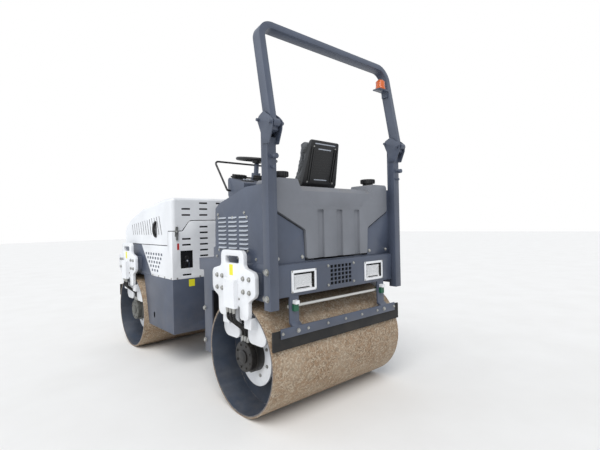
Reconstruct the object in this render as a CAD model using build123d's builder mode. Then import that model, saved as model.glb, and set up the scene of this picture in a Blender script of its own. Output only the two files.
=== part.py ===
"""Articulated tandem roller with an open platform and a folding roll bar.

Millimetres. +Y is forward travel, +X the machine's right, +Z up. The origin is
on the ground at the middle of the machine's length and width. Lengthwise
dimensions of each half are distances from that half's own drum axis.
"""
from build123d import *
from math import cos, radians, sin, sqrt, tan
import os

os.makedirs("parts", exist_ok=True)

# Machine and drums
WHEEL_BASE = 2010.0
DRUM_D = 720.0
DRUM_W = 1180.0
SHELL_T = 16.0
HEAD_T = 14.0
HEAD_INSET = 190.0
HUB_R = 110.0
SHAFT_R = 50.0
FIT = 0.3

# Drum carriers: outer plate with lifting eye and legs, and the arms inside the drum end
HANGER_OUT = 625.0
HANGER_T = 25.0
HANGER_TOP = 1040.0
HEAD_HALF = 132.0
EYE_HALF = 80.0
EYE_TOP = 1005.0
EYE_BOTTOM = 959.0
SHOULDER_HALF = 248.0
SHOULDER_TOP = 912.0
SHOULDER_BOTTOM = 776.0
LEG_OUT = 173.0
LEG_IN = 79.0
LEG_BOTTOM = 622.0
CROTCH_Z = 700.0
HOSE_COVER_HALF = 60.0
HOSE_COVER_D = 30.0
SPACER_BOTTOM = 565.0
ARM_OUT = 550.0
ARM_T = 20.0
ARM_IN_Y = 50.0
ARM_OUT_Y = 240.0
ARM_BOTTOM = 460.0
ARM_TOP_R = 318.0

# Drive: rubber buffers, motor plate and motor
BUFFER_R = 32.0
BUFFER_L = 65.0
BUFFER_Y = 112.0
BUFFER_Z = (498.0, 572.0)
MOTOR_PLATE_T = 15.0
MOTOR_PLATE_HALF = 170.0
MOTOR_PLATE_TOP = 612.0
MOTOR_PLATE_BOTTOM = 155.0
MOTOR_R = 105.0
MOTOR_L = 50.0
COVER_R = 92.0
COVER_L = 41.0
HOSE_R = 9.0
HOSE_OUT = 640.0
HOSE_IN = 536.0
HOSE_START_Z = 690.0
HOSE_TURN_Z = 525.0
HOSE_BEND = 38.0
# Hose places lengthwise from the drum axis: at the hose cover, at the motor
HOSE_PLACES = ((-36, -30), (0, 0), (36, 30))

# Chassis plates
BODY_HALF = 560.0
PLATE = 12.0
SHEET = 4.0
RAIL_BOTTOM = 740.0
DECK_TOP = 960.0
DECK_FRONT = 565.0
DECK_SKIRT = 84.0
BULKHEAD_FRONT = 497.0
BULKHEAD_BACK = 385.0
BULKHEAD_BOTTOM = 290.0
REAR_END = 316.0
FRONT_END = 257.0

# Lamp beams
BEAM_D = 23.0
BEAM_T = 10.0
BEAM_HALF = 549.7
BEAM_TOP = 956.0
BEAM_BOTTOM = 766.0
LAMP_X = 332.0
LAMP_Z = 852.0
LAMP_W = 184.0
LAMP_H = 116.0
LAMP_D = 45.0
BEZEL = 8.0
GRILLE_HOLE = (25.0, 19.0)
GRILLE_PITCH = (35.0, 27.0)

# Scrapers and spray bars
BLADE_GAP = 8.0
BLADE_SAG = 18.0
BLADE_T = 12.0
BLADE_BOTTOM = 473.0
BLADE_TOP = 585.0
SCRAPER_HALF = 537.0
SCRAPER_T = 8.0
SCRAPER_TOP = 597.0
SCRAPER_BOTTOM = 540.0
SCRAPER_ARM_X = 411.0
SCRAPER_ARM_T = 12.0
SCRAPER_ARM_W = 70.0
SPRAY_Z = 702.0
SPRAY_R = 9.0

# Roll bar
POST_OUT = 612.0
POST_SIZE = 60.0
POST_WALL = 5.0
POST_BACK = 376.0
POST_BOTTOM = 710.0
POST_TOP = 1680.0
CHEEK_T = 6.0
PIVOT_BACK = 418.0
PIVOT_Z = 1752.0
PIVOT_R = 10.0
PIVOT_EYE_R = 22.0
LOCK_BACK = 306.0
LOCK_Z = 1784.0
LOCK_R = 9.0
HOOP_PLAY = 5.5
HOOP_W = 42.0
HOOP_D = 65.0
HOOP_LEAN = 10.4
HOOP_BACK = 350.0
HOOP_MID_Z = 1900.0
HOOP_FOOT = 1705.0
HOOP_TOP = 2378.0
HOOP_CORNER = 110.0
SHELF_Z = 2185.0
SHELF_REACH = 62.0

# Tank, rear wall and side cabinets
TANK_TOP = 1466.0
TANK_BOTTOM = 978.0
TANK_HALF = 521.0
TANK_BACK = 327.0
TANK_D = 196.0
TANK_GAP = 12.0
RECESS_FLOOR = 1396.0
RECESS_RISE = 32.0
FLUTE_W = 58.0
FLUTE_TOP = 1284.0
FLUTE_D = 15.0
CAP_X = 418.0
WALL_T = 8.0
WALL_TOP = 1434.0
CABINET_IN = 300.0

# Seat and controls
SEAT_Z = 1330.0
SEAT_HALF = 225.0
SHELL_HALF = 165.0
CONSOLE_HALF = 240.0
STEER_Y = 600.0
STEER_Z = 1738.0
STEER_TILT = 8.0
STEER_R = 162.0
RIM_R = 13.0
RAIL_R = 8.0

# Front module: lower box, cowl and hood
BOX_REACH = 960.0
BOX_BOTTOM = 290.0
BOX_TOP = 736.0
FRAME_TOP = 1028.0
COWL_SEAM = 1240.0
CORNER_SEAM = 1152.0
HOOD_GAP = 6.0
HOOD_EDGE_R = 35.0
HINGE_Z = 1012.0
HINGE_R = 8.0
KNUCKLE_R = 11.0

# Articulation
PIVOT_GAP = 125.0
HITCH_Z = 480.0
HITCH_PIN_R = 25.0
HITCH_BLOCK_R = 55.0
HITCH_BLOCK_H = 150.0
LUG_T = 25.0
JOURNAL_R = 42.0
JOURNAL_L = 240.0
BEARING_R = 70.0
STEER_ARM = (150.0, 85.0)
CYL_X = 190.0
CYL_REACH = 48.0
CYL_R = 32.0
CYL_L = 320.0
ROD_R = 15.0
ROD_EYE_R = 22.0
CYL_PIN_R = 12.0

DRUM_R = DRUM_D / 2
AXLE_Z = DRUM_R
# Widths across the drum ends, from the outside in
MOTOR_PLATE_OUT = ARM_OUT - ARM_T - BUFFER_L
MOTOR_PLATE_IN = MOTOR_PLATE_OUT - MOTOR_PLATE_T
HEAD_OUT = DRUM_W / 2 - HEAD_INSET
HEAD_IN = HEAD_OUT - HEAD_T
# Scraper reach from the drum axis at the blade's height, and the machine's length
BLADE_IN = DRUM_R - BLADE_SAG + BLADE_GAP
SCRAPER_IN = BLADE_IN + BLADE_T
REAR_OVERHANG = PIVOT_BACK + PIVOT_EYE_R
FRONT_OVERHANG = SCRAPER_IN + SCRAPER_T
LENGTH = WHEEL_BASE + REAR_OVERHANG + FRONT_OVERHANG
REAR_Y = REAR_OVERHANG - LENGTH / 2
FRONT_Y = REAR_Y + WHEEL_BASE
BOX_BACK = FRONT_Y - BOX_REACH
PIVOT_Y = BOX_BACK - PIVOT_GAP
REAR_BACK = REAR_Y - REAR_END
FRONT_TIP = FRONT_Y + FRONT_END
SIDES = (-1, 1)
# Each end of the machine: name, drum axis, outward direction, chassis end
ENDS = (("rear", REAR_Y, -1, REAR_END), ("front", FRONT_Y, 1, FRONT_END))


def outline(plane, corners, wall=0):
    """Flat face on a plane, set in by a wall. Each corner is (across, up, corner radius)."""
    with BuildSketch(plane) as sketch:
        with BuildLine():
            FilletPolyline(*[(a, b) for a, b, _ in corners],
                           radius=[r for _, _, r in corners], close=True)
        make_face()
        if wall:
            offset(amount=-wall, kind=Kind.INTERSECTION, mode=Mode.REPLACE)
    return sketch.sketch


def both_ways(half):
    """A half outline from the top centre to the bottom centre, closed by its mirror."""
    return half + [(-a, b, r) for a, b, r in reversed(half)]


def side_face(x, corners, y=0.0, wall=0):
    """Outline in side view. Each corner is (length from y, height, corner radius)."""
    return outline(Plane.YZ.offset(x), [(a + y, b, r) for a, b, r in corners], wall)


def back_face(y, corners):
    """Outline in rear view. Each corner is (across, height, corner radius)."""
    return outline(Plane.XZ.offset(-y), corners)


def block(x, y, z, mode=Mode.ADD):
    """Square-edged block between pairs of limits along X, Y and Z."""
    middle = tuple((lo + hi) / 2 for lo, hi in (x, y, z))
    with Locations(middle):
        Box(*[abs(hi - lo) for lo, hi in (x, y, z)], mode=mode)


def bar(start, end, radius, mode=Mode.ADD):
    """Round bar between two points."""
    along = Vector(*end) - Vector(*start)
    with BuildSketch(Plane(origin=start, z_dir=along)) as ring:
        Circle(radius)
    extrude(ring.sketch, amount=along.length, mode=mode)


def cross_bar(x, y, z, radius, mode=Mode.ADD):
    """Round bar along X between a pair of limits."""
    bar((x[0], y, z), (x[1], y, z), radius, mode)


def keep(builder, name):
    """Name a finished piece and write its file."""
    builder.part.label = name
    export_step(builder.part, f"parts/{name}.step")


def make_drum(name, y):
    """Rolling shell with two recessed heads and their hub rings."""
    with BuildPart() as part:
        cross_bar((-DRUM_W / 2, DRUM_W / 2), y, AXLE_Z, DRUM_R)
        cross_bar((-DRUM_W / 2, DRUM_W / 2), y, AXLE_Z, DRUM_R - SHELL_T, Mode.SUBTRACT)
        for side in SIDES:
            hub = (side * HEAD_IN, side * (MOTOR_PLATE_IN - 6))
            cross_bar((side * HEAD_IN, side * HEAD_OUT), y, AXLE_Z, DRUM_R - SHELL_T)
            cross_bar(hub, y, AXLE_Z, HUB_R)
            cross_bar(hub, y, AXLE_Z, SHAFT_R + FIT, Mode.SUBTRACT)
    keep(part, name)


def make_hangers(name, y):
    """Both outer carrier plates, each with the two arms that hang inside the drum end."""
    plate = both_ways([
        (HEAD_HALF, HANGER_TOP, 38), (HEAD_HALF, SHOULDER_TOP + 26, 28),
        (SHOULDER_HALF, SHOULDER_TOP, 40), (SHOULDER_HALF, SHOULDER_BOTTOM, 45),
        (LEG_OUT, SHOULDER_BOTTOM - 38, 25), (LEG_OUT, LEG_BOTTOM, 40),
        (LEG_IN, LEG_BOTTOM, 20), (LEG_IN, CROTCH_Z, 10)])
    cover = both_ways([(HOSE_COVER_HALF, 868, 12), (HOSE_COVER_HALF, 690, 12)])
    hanger_in = HANGER_OUT - HANGER_T
    with BuildPart() as part:
        for side in SIDES:
            with BuildSketch(Plane.YZ.offset(side * hanger_in)) as eye:
                with Locations((y, (EYE_TOP + EYE_BOTTOM) / 2)):
                    RectangleRounded(2 * EYE_HALF, EYE_TOP - EYE_BOTTOM, 16)
            extrude(side_face(side * hanger_in, plate, y), amount=side * HANGER_T)
            extrude(eye.sketch, amount=side * HANGER_T, mode=Mode.SUBTRACT)
            extrude(side_face(side * (HANGER_OUT - 1), cover, y), amount=side * (HOSE_COVER_D + 1))
            for way in SIDES:
                arm = [(way * ARM_IN_Y, ARM_BOTTOM, 45), (way * ARM_IN_Y, 700, 0),
                       (way * ARM_OUT_Y, 700, 0), (way * ARM_OUT_Y, ARM_BOTTOM, 60)]
                with BuildSketch(Plane.YZ.offset(side * ARM_OUT)) as reach:
                    with Locations((y, AXLE_Z)):
                        Circle(ARM_TOP_R)
                extrude(side_face(side * ARM_OUT, arm, y) & reach.sketch, amount=-side * ARM_T)
                block((side * (ARM_OUT - 1), side * (hanger_in + 1)),
                      (y + way * (LEG_IN + 8), y + way * (LEG_OUT - 10)),
                      (SPACER_BOTTOM, LEG_BOTTOM + 13))
    keep(part, name)


def make_buffers(name, y):
    """Round rubber buffers between the hanging arms and the motor plates."""
    with BuildPart() as part:
        for side in SIDES:
            for way in SIDES:
                for z in BUFFER_Z:
                    cross_bar((side * (ARM_OUT - ARM_T), side * MOTOR_PLATE_OUT),
                              y + way * BUFFER_Y, z, BUFFER_R)
    keep(part, name)


def make_motor_plates(name, y):
    """Round-bottomed plates that hold the drum motors."""
    shape = both_ways([(MOTOR_PLATE_HALF, MOTOR_PLATE_TOP, 30),
                       (MOTOR_PLATE_HALF, MOTOR_PLATE_BOTTOM, MOTOR_PLATE_HALF - 1)])
    with BuildPart() as part:
        for side in SIDES:
            extrude(side_face(side * MOTOR_PLATE_IN, shape, y), amount=side * MOTOR_PLATE_T)
            cross_bar((side * MOTOR_PLATE_IN, side * MOTOR_PLATE_OUT), y, AXLE_Z,
                      SHAFT_R + FIT, Mode.SUBTRACT)
    keep(part, name)


def make_motors(name, y):
    """Drum motors: stepped housing, outer cover and the shaft into the drum hub."""
    with BuildPart() as part:
        for side in SIDES:
            step = MOTOR_PLATE_OUT + MOTOR_L
            cross_bar((side * MOTOR_PLATE_OUT, side * step), y, AXLE_Z, MOTOR_R)
            cross_bar((side * step, side * (step + COVER_L)), y, AXLE_Z, COVER_R)
            cross_bar((side * (HEAD_IN - 20), side * MOTOR_PLATE_OUT), y, AXLE_Z, SHAFT_R)
    keep(part, name)


def make_hoses(name, y):
    """Drive hoses on both sides, from under the hose cover down into the motor cover."""
    with BuildPart() as part:
        for side in SIDES:
            for top, foot in HOSE_PLACES:
                cover_top = AXLE_Z + sqrt(COVER_R ** 2 - max(abs(foot) - HOSE_R, 0) ** 2) + FIT
                with BuildLine() as route:
                    FilletPolyline((side * HOSE_OUT, y + top, HOSE_START_Z - FIT),
                                   (side * HOSE_OUT, y + top, HOSE_START_Z - 75),
                                   (side * HOSE_IN, y + foot, HOSE_TURN_Z),
                                   (side * HOSE_IN, y + foot, cover_top), radius=HOSE_BEND)
                with BuildSketch(Plane(origin=route.line @ 0, z_dir=route.line % 0)) as ring:
                    Circle(HOSE_R)
                sweep(ring.sketch, path=route.line)
    keep(part, name)


def make_beam(name, end, way):
    """Lamp beam across the chassis end, with lamp windows and a square-hole grille."""
    face = end + way * BEAM_D
    through = (face + way * 5, face - way * (BEAM_T + 5))
    with BuildPart() as part:
        block((-BEAM_HALF, BEAM_HALF), (face, face - way * BEAM_T), (BEAM_BOTTOM, BEAM_TOP))
        for z in (BEAM_BOTTOM, BEAM_TOP - BEAM_T):
            block((-BEAM_HALF, BEAM_HALF), (face, end), (z, z + BEAM_T))
        for x in (-LAMP_X, LAMP_X):
            block((x - LAMP_W / 2, x + LAMP_W / 2), through,
                  (LAMP_Z - LAMP_H / 2, LAMP_Z + LAMP_H / 2), Mode.SUBTRACT)
        with BuildSketch(Plane.XZ.offset(-through[1])) as holes:
            with Locations((0, LAMP_Z + 8)):
                with GridLocations(*GRILLE_PITCH, 6, 5):
                    Rectangle(*GRILLE_HOLE)
        extrude(holes.sketch, amount=-way * (BEAM_T + 10), mode=Mode.SUBTRACT)
    keep(part, name)


def make_lamps(name, end, way):
    """Two work lamps set in the beam, each a housing with a bezel and a sunk front."""
    face = end + way * BEAM_D
    w = LAMP_W / 2 - FIT
    h = LAMP_H / 2 - FIT
    with BuildPart() as part:
        for x in (-LAMP_X, LAMP_X):
            block((x - w, x + w), (face, face - way * LAMP_D), (LAMP_Z - h, LAMP_Z + h))
            block((x - w - BEZEL, x + w + BEZEL), (face, face + way * BEZEL),
                  (LAMP_Z - h - BEZEL, LAMP_Z + h + BEZEL))
            block((x - w + BEZEL, x + w - BEZEL), (face, face + way * BEZEL),
                  (LAMP_Z - h + BEZEL, LAMP_Z + h - BEZEL), Mode.SUBTRACT)
    keep(part, name)


def scraper_arm(end_out):
    """Side outline of the arm from the beam's lower edge down to the scraper bar."""
    bend = SCRAPER_IN - 21
    return [(end_out + BEAM_D, BEAM_BOTTOM, 0), (end_out + BEAM_D - SCRAPER_ARM_T, BEAM_BOTTOM, 0),
            (bend - SCRAPER_ARM_T, SCRAPER_TOP + 10, 8), (SCRAPER_IN - 8, BLADE_TOP + 1, 0),
            (SCRAPER_IN + SCRAPER_T, BLADE_TOP + 1, 0), (SCRAPER_IN + SCRAPER_T, SCRAPER_TOP, 0),
            (bend, SCRAPER_TOP + 21, 8)]


def make_scraper(name, y, way, end_out):
    """Scraper bar across the drum and the two arms that hang it from the beam."""
    with BuildPart() as part:
        block((-SCRAPER_HALF, SCRAPER_HALF),
              (y + way * SCRAPER_IN, y + way * (SCRAPER_IN + SCRAPER_T)), (SCRAPER_BOTTOM, SCRAPER_TOP))
        for x in (-SCRAPER_ARM_X, SCRAPER_ARM_X):
            arm = [(way * a, b, r) for a, b, r in scraper_arm(end_out)]
            extrude(side_face(x - SCRAPER_ARM_W / 2, arm, y), amount=SCRAPER_ARM_W)
    keep(part, name)


def make_blade(name, y, way):
    """Rubber wiping blade clamped inside the scraper bar."""
    with BuildPart() as part:
        block((-DRUM_W / 2, DRUM_W / 2), (y + way * BLADE_IN, y + way * SCRAPER_IN),
              (BLADE_BOTTOM, BLADE_TOP))
    keep(part, name)


def make_spray_bar(name, y, way, end_out):
    """Water spray bar above the drum, clamped to the scraper arms."""
    top = end_out + BEAM_D - SCRAPER_ARM_T
    low = SCRAPER_IN - 21 - SCRAPER_ARM_T
    down = (BEAM_BOTTOM - SPRAY_Z - 7) / (BEAM_BOTTOM - SCRAPER_TOP - 10)
    arm_in = top + (low - top) * down
    at = y + way * (arm_in - 20)
    with BuildPart() as part:
        cross_bar((-SCRAPER_ARM_X - 22, SCRAPER_ARM_X + 22), at, SPRAY_Z, SPRAY_R)
        for x in (-SCRAPER_ARM_X, SCRAPER_ARM_X):
            block((x - 14, x + 14), (at - 14, at + 14), (SPRAY_Z - 14, SPRAY_Z + 14))
            block((x - 7, x + 7), (at, y + way * (arm_in - FIT)), (SPRAY_Z - 7, SPRAY_Z + 7))
    keep(part, name)


for name, axis_y, way, end_out in ENDS:
    chassis_end = axis_y + way * end_out
    make_drum(f"{name}_drum", axis_y)
    make_hangers(f"{name}_hangers", axis_y)
    make_buffers(f"{name}_buffers", axis_y)
    make_motor_plates(f"{name}_motor_plates", axis_y)
    make_motors(f"{name}_motors", axis_y)
    make_hoses(f"{name}_hoses", axis_y)
    make_beam(f"{name}_beam", chassis_end, way)
    make_lamps(f"{name}_lamps", chassis_end, way)
    make_scraper(f"{name}_scraper", axis_y, way, end_out)
    make_blade(f"{name}_scraper_blade", axis_y, way)
    make_spray_bar(f"{name}_spray_bar", axis_y, way, end_out)


def carrier_pads(y, inner):
    """Pads between the chassis sides and the outer carrier plates."""
    for side in SIDES:
        for way in SIDES:
            block((side * inner, side * (HANGER_OUT - HANGER_T)), (y + way * 110, y + way * 228),
                  (SHOULDER_BOTTOM + 4, SHOULDER_TOP - 4))


# Rear chassis: side rails over the drum, deck, bulkhead, carrier pads and hitch lugs
half_h = HITCH_BLOCK_H / 2
with BuildPart() as rear_frame:
    bulk_back = REAR_Y + BULKHEAD_BACK
    bulk_front = REAR_Y + BULKHEAD_FRONT
    deck_front = REAR_Y + DECK_FRONT
    inner = BODY_HALF - PLATE
    for side in SIDES:
        plate_x = (side * inner, side * BODY_HALF)
        block(plate_x, (REAR_BACK, bulk_front), (RAIL_BOTTOM, DECK_TOP))
        block(plate_x, (bulk_back, bulk_front), (BULKHEAD_BOTTOM, RAIL_BOTTOM))
        block(plate_x, (bulk_front, deck_front), (DECK_TOP - DECK_SKIRT, DECK_TOP))
    carrier_pads(REAR_Y, BODY_HALF)
    block((-BODY_HALF, BODY_HALF), (REAR_BACK, deck_front), (DECK_TOP - PLATE, DECK_TOP))
    block((-BODY_HALF, BODY_HALF), (deck_front - PLATE, deck_front), (DECK_TOP - DECK_SKIRT, DECK_TOP))
    block((-BODY_HALF, BODY_HALF), (bulk_front - PLATE, bulk_front), (BULKHEAD_BOTTOM, DECK_TOP))
    block((-BODY_HALF, BODY_HALF), (bulk_back, bulk_front), (BULKHEAD_BOTTOM, BULKHEAD_BOTTOM + PLATE))
    for x in (-BODY_HALF + 20, BODY_HALF - 20):
        for z in (370, 600):
            bar((x, bulk_front, z), (x, bulk_front + 24, z), 15)
    lug = [(110, bulk_front, 0), (110, bulk_front + 90, 30), (HITCH_BLOCK_R, PIVOT_Y - 60, 0),
           (HITCH_BLOCK_R, PIVOT_Y + HITCH_BLOCK_R, HITCH_BLOCK_R - 1)]
    lug += [(-a, b, r) for a, b, r in reversed(lug)]
    for low in (HITCH_Z - half_h - FIT - LUG_T, HITCH_Z + half_h + FIT):
        extrude(outline(Plane.XY.offset(low), lug), amount=LUG_T)
    for side in SIDES:
        block((side * 80, side * 92), (bulk_front, bulk_front + 110),
              (HITCH_Z - half_h - FIT, HITCH_Z + half_h + FIT))
    bar((0, PIVOT_Y, HITCH_Z - half_h - 40), (0, PIVOT_Y, HITCH_Z + half_h + 40), HITCH_PIN_R)
    for z in (HITCH_Z + 55, HITCH_Z - 15):
        block((CYL_X - 26, CYL_X + 26), (bulk_front, bulk_front + CYL_REACH + 20), (z, z + 14))
    bar((CYL_X, bulk_front + CYL_REACH, HITCH_Z - 15), (CYL_X, bulk_front + CYL_REACH, HITCH_Z + 72), CYL_PIN_R)
keep(rear_frame, "rear_frame")

# Rear wall round the tank, and the cabinets each side of the seat: skin, sheet box, louvres
BOX_REAR = -TANK_BACK + TANK_D + 6
# Cabinet top line, rear to front: length from the drum axis, height
TOP_LINE = ((-71, 1430), (254, 1344), (309, 1311), (320, 1051))
skin = [(-REAR_END + FIT, DECK_TOP, 0), (-REAR_END + FIT, 1434, 0), *[(a, b, 0) for a, b in TOP_LINE],
        (345, 1040, 0), (345, DECK_TOP, 0)]
house = [(BOX_REAR, DECK_TOP, 0), (BOX_REAR, 1430, 0), *[(a, b, 0) for a, b in TOP_LINE], (320, DECK_TOP, 0)]
opening = both_ways([(TANK_HALF + TANK_GAP, WALL_TOP + 1, 0), (TANK_HALF + TANK_GAP, 1269, 10),
                     (295 + TANK_GAP, 1151, 10), (287 + TANK_GAP, TANK_BOTTOM - TANK_GAP, 0)])
with BuildPart() as side_cabinets:
    box_out = BODY_HALF - SHEET
    block((-box_out, box_out), (REAR_BACK, REAR_BACK + WALL_T), (DECK_TOP, WALL_TOP))
    extrude(back_face(REAR_BACK - 1, opening), amount=-WALL_T - 2, mode=Mode.SUBTRACT)
    for side in SIDES:
        extrude(side_face(side * box_out, skin, REAR_Y), amount=side * SHEET)
        extrude(side_face(side * CABINET_IN, house, REAR_Y), amount=side * (box_out - CABINET_IN))
        extrude(side_face(side * (CABINET_IN + SHEET), house, REAR_Y, SHEET),
                amount=side * (box_out - CABINET_IN - SHEET), mode=Mode.SUBTRACT)
        with BuildSketch(Plane.YZ.offset(side * (box_out - 1))) as louvres:
            with Locations((REAR_Y + 92, 1142)):
                with GridLocations(130, 28, 3, 8):
                    Rectangle(98, 11)
        extrude(louvres.sketch, amount=side * 2 * SHEET, mode=Mode.SUBTRACT)
keep(side_cabinets, "side_cabinets")

# Moulded water tank: raised shoulders, seat recess with a bevelled edge, three flutes
tank_half = [(324, RECESS_FLOOR, 8), (353, TANK_TOP, 12), (TANK_HALF, TANK_TOP, 25),
             (TANK_HALF, 1276, 30), (295, 1158, 30), (287, TANK_BOTTOM, 15)]
tank_rear = REAR_Y - TANK_BACK
with BuildPart() as water_tank:
    extrude(back_face(tank_rear, both_ways(tank_half)), amount=-TANK_D)
    step = [(-TANK_BACK, RECESS_FLOOR, 0), (-TANK_BACK + 35, RECESS_FLOOR + RECESS_RISE, 10),
            (-TANK_BACK + TANK_D, RECESS_FLOOR + RECESS_RISE, 0), (-TANK_BACK + TANK_D, RECESS_FLOOR - 5, 0),
            (-TANK_BACK, RECESS_FLOOR - 5, 0)]
    extrude(side_face(-335, step, REAR_Y), amount=670)
    for x in (-166, 8, 181):
        flute = [(x - FLUTE_W / 2, TANK_BOTTOM - 1, 0), (x - FLUTE_W / 2, FLUTE_TOP, 10),
                 (x + FLUTE_W / 2, FLUTE_TOP, 10), (x + FLUTE_W / 2, TANK_BOTTOM - 1, 0)]
        extrude(back_face(tank_rear - 1, flute), amount=-FLUTE_D - 1, mode=Mode.SUBTRACT)
    for x in (-230, 230):
        block((x - 30, x + 30), (tank_rear + 40, tank_rear + 160), (DECK_TOP, TANK_BOTTOM))
keep(water_tank, "water_tank")

with BuildPart() as tank_caps:
    for x in (-CAP_X, CAP_X):
        cap_y = REAR_Y - 235
        bar((x, cap_y, TANK_TOP), (x, cap_y, TANK_TOP + 17), 38)
        bar((x, cap_y, TANK_TOP + 17), (x, cap_y, TANK_TOP + 47), 52)
keep(tank_caps, "tank_caps")

# Roll bar posts with the hinge brackets of the folding hoop, open to the rear
pivot_y = REAR_Y - PIVOT_BACK
# Hinge cheek corners: length from the drum axis, height, corner radius
CHEEK = ((-330, 1646, 8), (-398, 1639, 8), (-430, 1716, 20), (-436, 1762, 12), (-408, 1788, 12),
         (-354, 1825, 12), (-310, 1806, 12), (-292, 1784, 8), (-327, 1704, 20))
with BuildPart() as roll_bar_posts:
    post_rear = REAR_Y - POST_BACK
    post_in = POST_OUT - POST_SIZE
    post_front = post_rear + POST_SIZE
    for side in SIDES:
        block((side * post_in, side * POST_OUT), (post_rear, post_front), (POST_BOTTOM, POST_TOP))
        block((side * (post_in + POST_WALL), side * (POST_OUT - POST_WALL)),
              (post_rear + POST_WALL, post_front - POST_WALL),
              (POST_BOTTOM - 1, POST_TOP - POST_WALL), Mode.SUBTRACT)
        block((side * post_in, side * POST_OUT), (post_front - POST_WALL, post_front), (POST_TOP, LOCK_Z - 20))
        for start, reach in ((POST_OUT, CHEEK_T), (post_in, -CHEEK_T)):
            extrude(side_face(side * start, CHEEK, REAR_Y), amount=side * reach)
        ends = (side * (post_in - CHEEK_T - 14), side * (POST_OUT + CHEEK_T + 14))
        cross_bar(ends, pivot_y, PIVOT_Z, PIVOT_R)
        cross_bar(ends, REAR_Y - LOCK_BACK, LOCK_Z, LOCK_R)
        knob_x = side * (POST_OUT - POST_SIZE / 2)
        for z, radius, reach in ((1571, 15, 44), (1512, 9, 22)):
            bar((knob_x, post_rear, z), (knob_x, post_rear - reach / 2, z), radius * 0.55)
            bar((knob_x, post_rear - reach / 2, z), (knob_x, post_rear - reach, z), radius)
keep(roll_bar_posts, "roll_bar_posts")

# Folding hoop: a leaning rectangular tube with an eye at each foot, and the lamp shelf
lean = radians(HOOP_LEAN)
hoop_out = POST_OUT - HOOP_PLAY
hoop_in = hoop_out - HOOP_W
hoop_mid = Plane(origin=(0, REAR_Y - HOOP_BACK, HOOP_MID_Z), x_dir=(1, 0, 0), z_dir=(0, -cos(lean), sin(lean)))
top_v = (HOOP_TOP - HOOP_MID_Z - HOOP_D / 2 * sin(lean)) / cos(lean)
foot_v = (HOOP_FOOT - HOOP_MID_Z) / cos(lean)
shelf_y = REAR_Y - HOOP_BACK + (SHELF_Z - HOOP_MID_Z) * tan(lean)
shelf_x = hoop_in - SHELF_REACH
with BuildPart() as roll_bar_hoop:
    with BuildSketch(hoop_mid.offset(-HOOP_D / 2)) as tube:
        with BuildLine():
            FilletPolyline((-hoop_out, foot_v), (-hoop_out, top_v), (hoop_out, top_v), (hoop_out, foot_v),
                           radius=HOOP_CORNER)
            Line((hoop_out, foot_v), (hoop_in, foot_v))
            FilletPolyline((hoop_in, foot_v), (hoop_in, top_v - HOOP_W), (-hoop_in, top_v - HOOP_W),
                           (-hoop_in, foot_v), radius=HOOP_CORNER - HOOP_W)
            Line((-hoop_in, foot_v), (-hoop_out, foot_v))
        make_face()
    extrude(tube.sketch, amount=HOOP_D)
    for side in SIDES:
        leg = (side * hoop_in, side * hoop_out)
        cross_bar(leg, pivot_y, PIVOT_Z, PIVOT_EYE_R)
        cross_bar(leg, pivot_y, PIVOT_Z, PIVOT_R + FIT, Mode.SUBTRACT)
    block((shelf_x - 48, hoop_in + 1), (shelf_y - 40, shelf_y + 25), (SHELF_Z - 8, SHELF_Z))
    block((hoop_in - 12, hoop_in + 1), (shelf_y - 30, shelf_y + 20), (SHELF_Z - 50, SHELF_Z))
keep(roll_bar_hoop, "roll_bar_hoop")

with BuildPart() as beacon:
    bar((shelf_x, shelf_y - 8, SHELF_Z), (shelf_x, shelf_y - 8, SHELF_Z + 16), 36)
    bar((shelf_x, shelf_y - 8, SHELF_Z + 16), (shelf_x, shelf_y - 8, SHELF_Z + 70), 33)
    chamfer(beacon.edges().group_by(Axis.Z)[-1], 12)
keep(beacon, "beacon")

# Seat: pedestal, cushion, bucket shell and back pad
with BuildPart() as seat_pedestal:
    box_half = CABINET_IN - FIT
    block((-box_half, box_half), (REAR_Y - 118, REAR_Y + 240), (DECK_TOP, 1240))
    block((-box_half + SHEET, box_half - SHEET), (REAR_Y - 118 + SHEET, REAR_Y + 240 - SHEET),
          (DECK_TOP, 1240 - SHEET), Mode.SUBTRACT)
    block((-170, 170), (REAR_Y - 90, REAR_Y + 220), (1240, SEAT_Z))
keep(seat_pedestal, "seat_pedestal")

# Seat shell in side view: length from the drum axis, height, corner radius
SHELL_SIDE = ((300, SEAT_Z, 0), (300, SEAT_Z + 12, 0), (-96, SEAT_Z + 12, 12), (-108, 1446, 20),
              (-196, 1757, 10), (-222, 1752, 10), (-149, 1466, 30), (-124, 1436, 10), (-124, SEAT_Z, 20))
PAD_SIDE = ((-40, 1452, 25), (-109.4, 1452, 8), (-193.1, 1748, 14), (-112, 1772, 32))
with BuildPart() as seat_shell:
    extrude(side_face(-SHELL_HALF - 30, SHELL_SIDE, REAR_Y), amount=2 * SHELL_HALF + 60)
    extrude(back_face(REAR_Y - 230, both_ways([(126, 1762, 30), (SHELL_HALF, 1440, 20),
                                               (SHELL_HALF + 30, 1360, 20), (SHELL_HALF + 30, SEAT_Z, 0)])),
            amount=-600, mode=Mode.INTERSECT)
keep(seat_shell, "seat_shell")

with BuildPart() as seat_back:
    extrude(side_face(-SHELL_HALF, PAD_SIDE, REAR_Y), amount=2 * SHELL_HALF)
    extrude(back_face(REAR_Y - 230, both_ways([(138, 1775, 40), (SHELL_HALF, 1450, 30)])),
            amount=-600, mode=Mode.INTERSECT)
keep(seat_back, "seat_back")

with BuildPart() as seat_cushion:
    block((-SEAT_HALF, SEAT_HALF), (REAR_Y - 86, REAR_Y + 330), (SEAT_Z + 12 + FIT, 1448))
    fillet(seat_cushion.edges().filter_by(Axis.Z), 60)
    fillet(seat_cushion.edges().group_by(Axis.Z)[-1], 25)
keep(seat_cushion, "seat_cushion")

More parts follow.
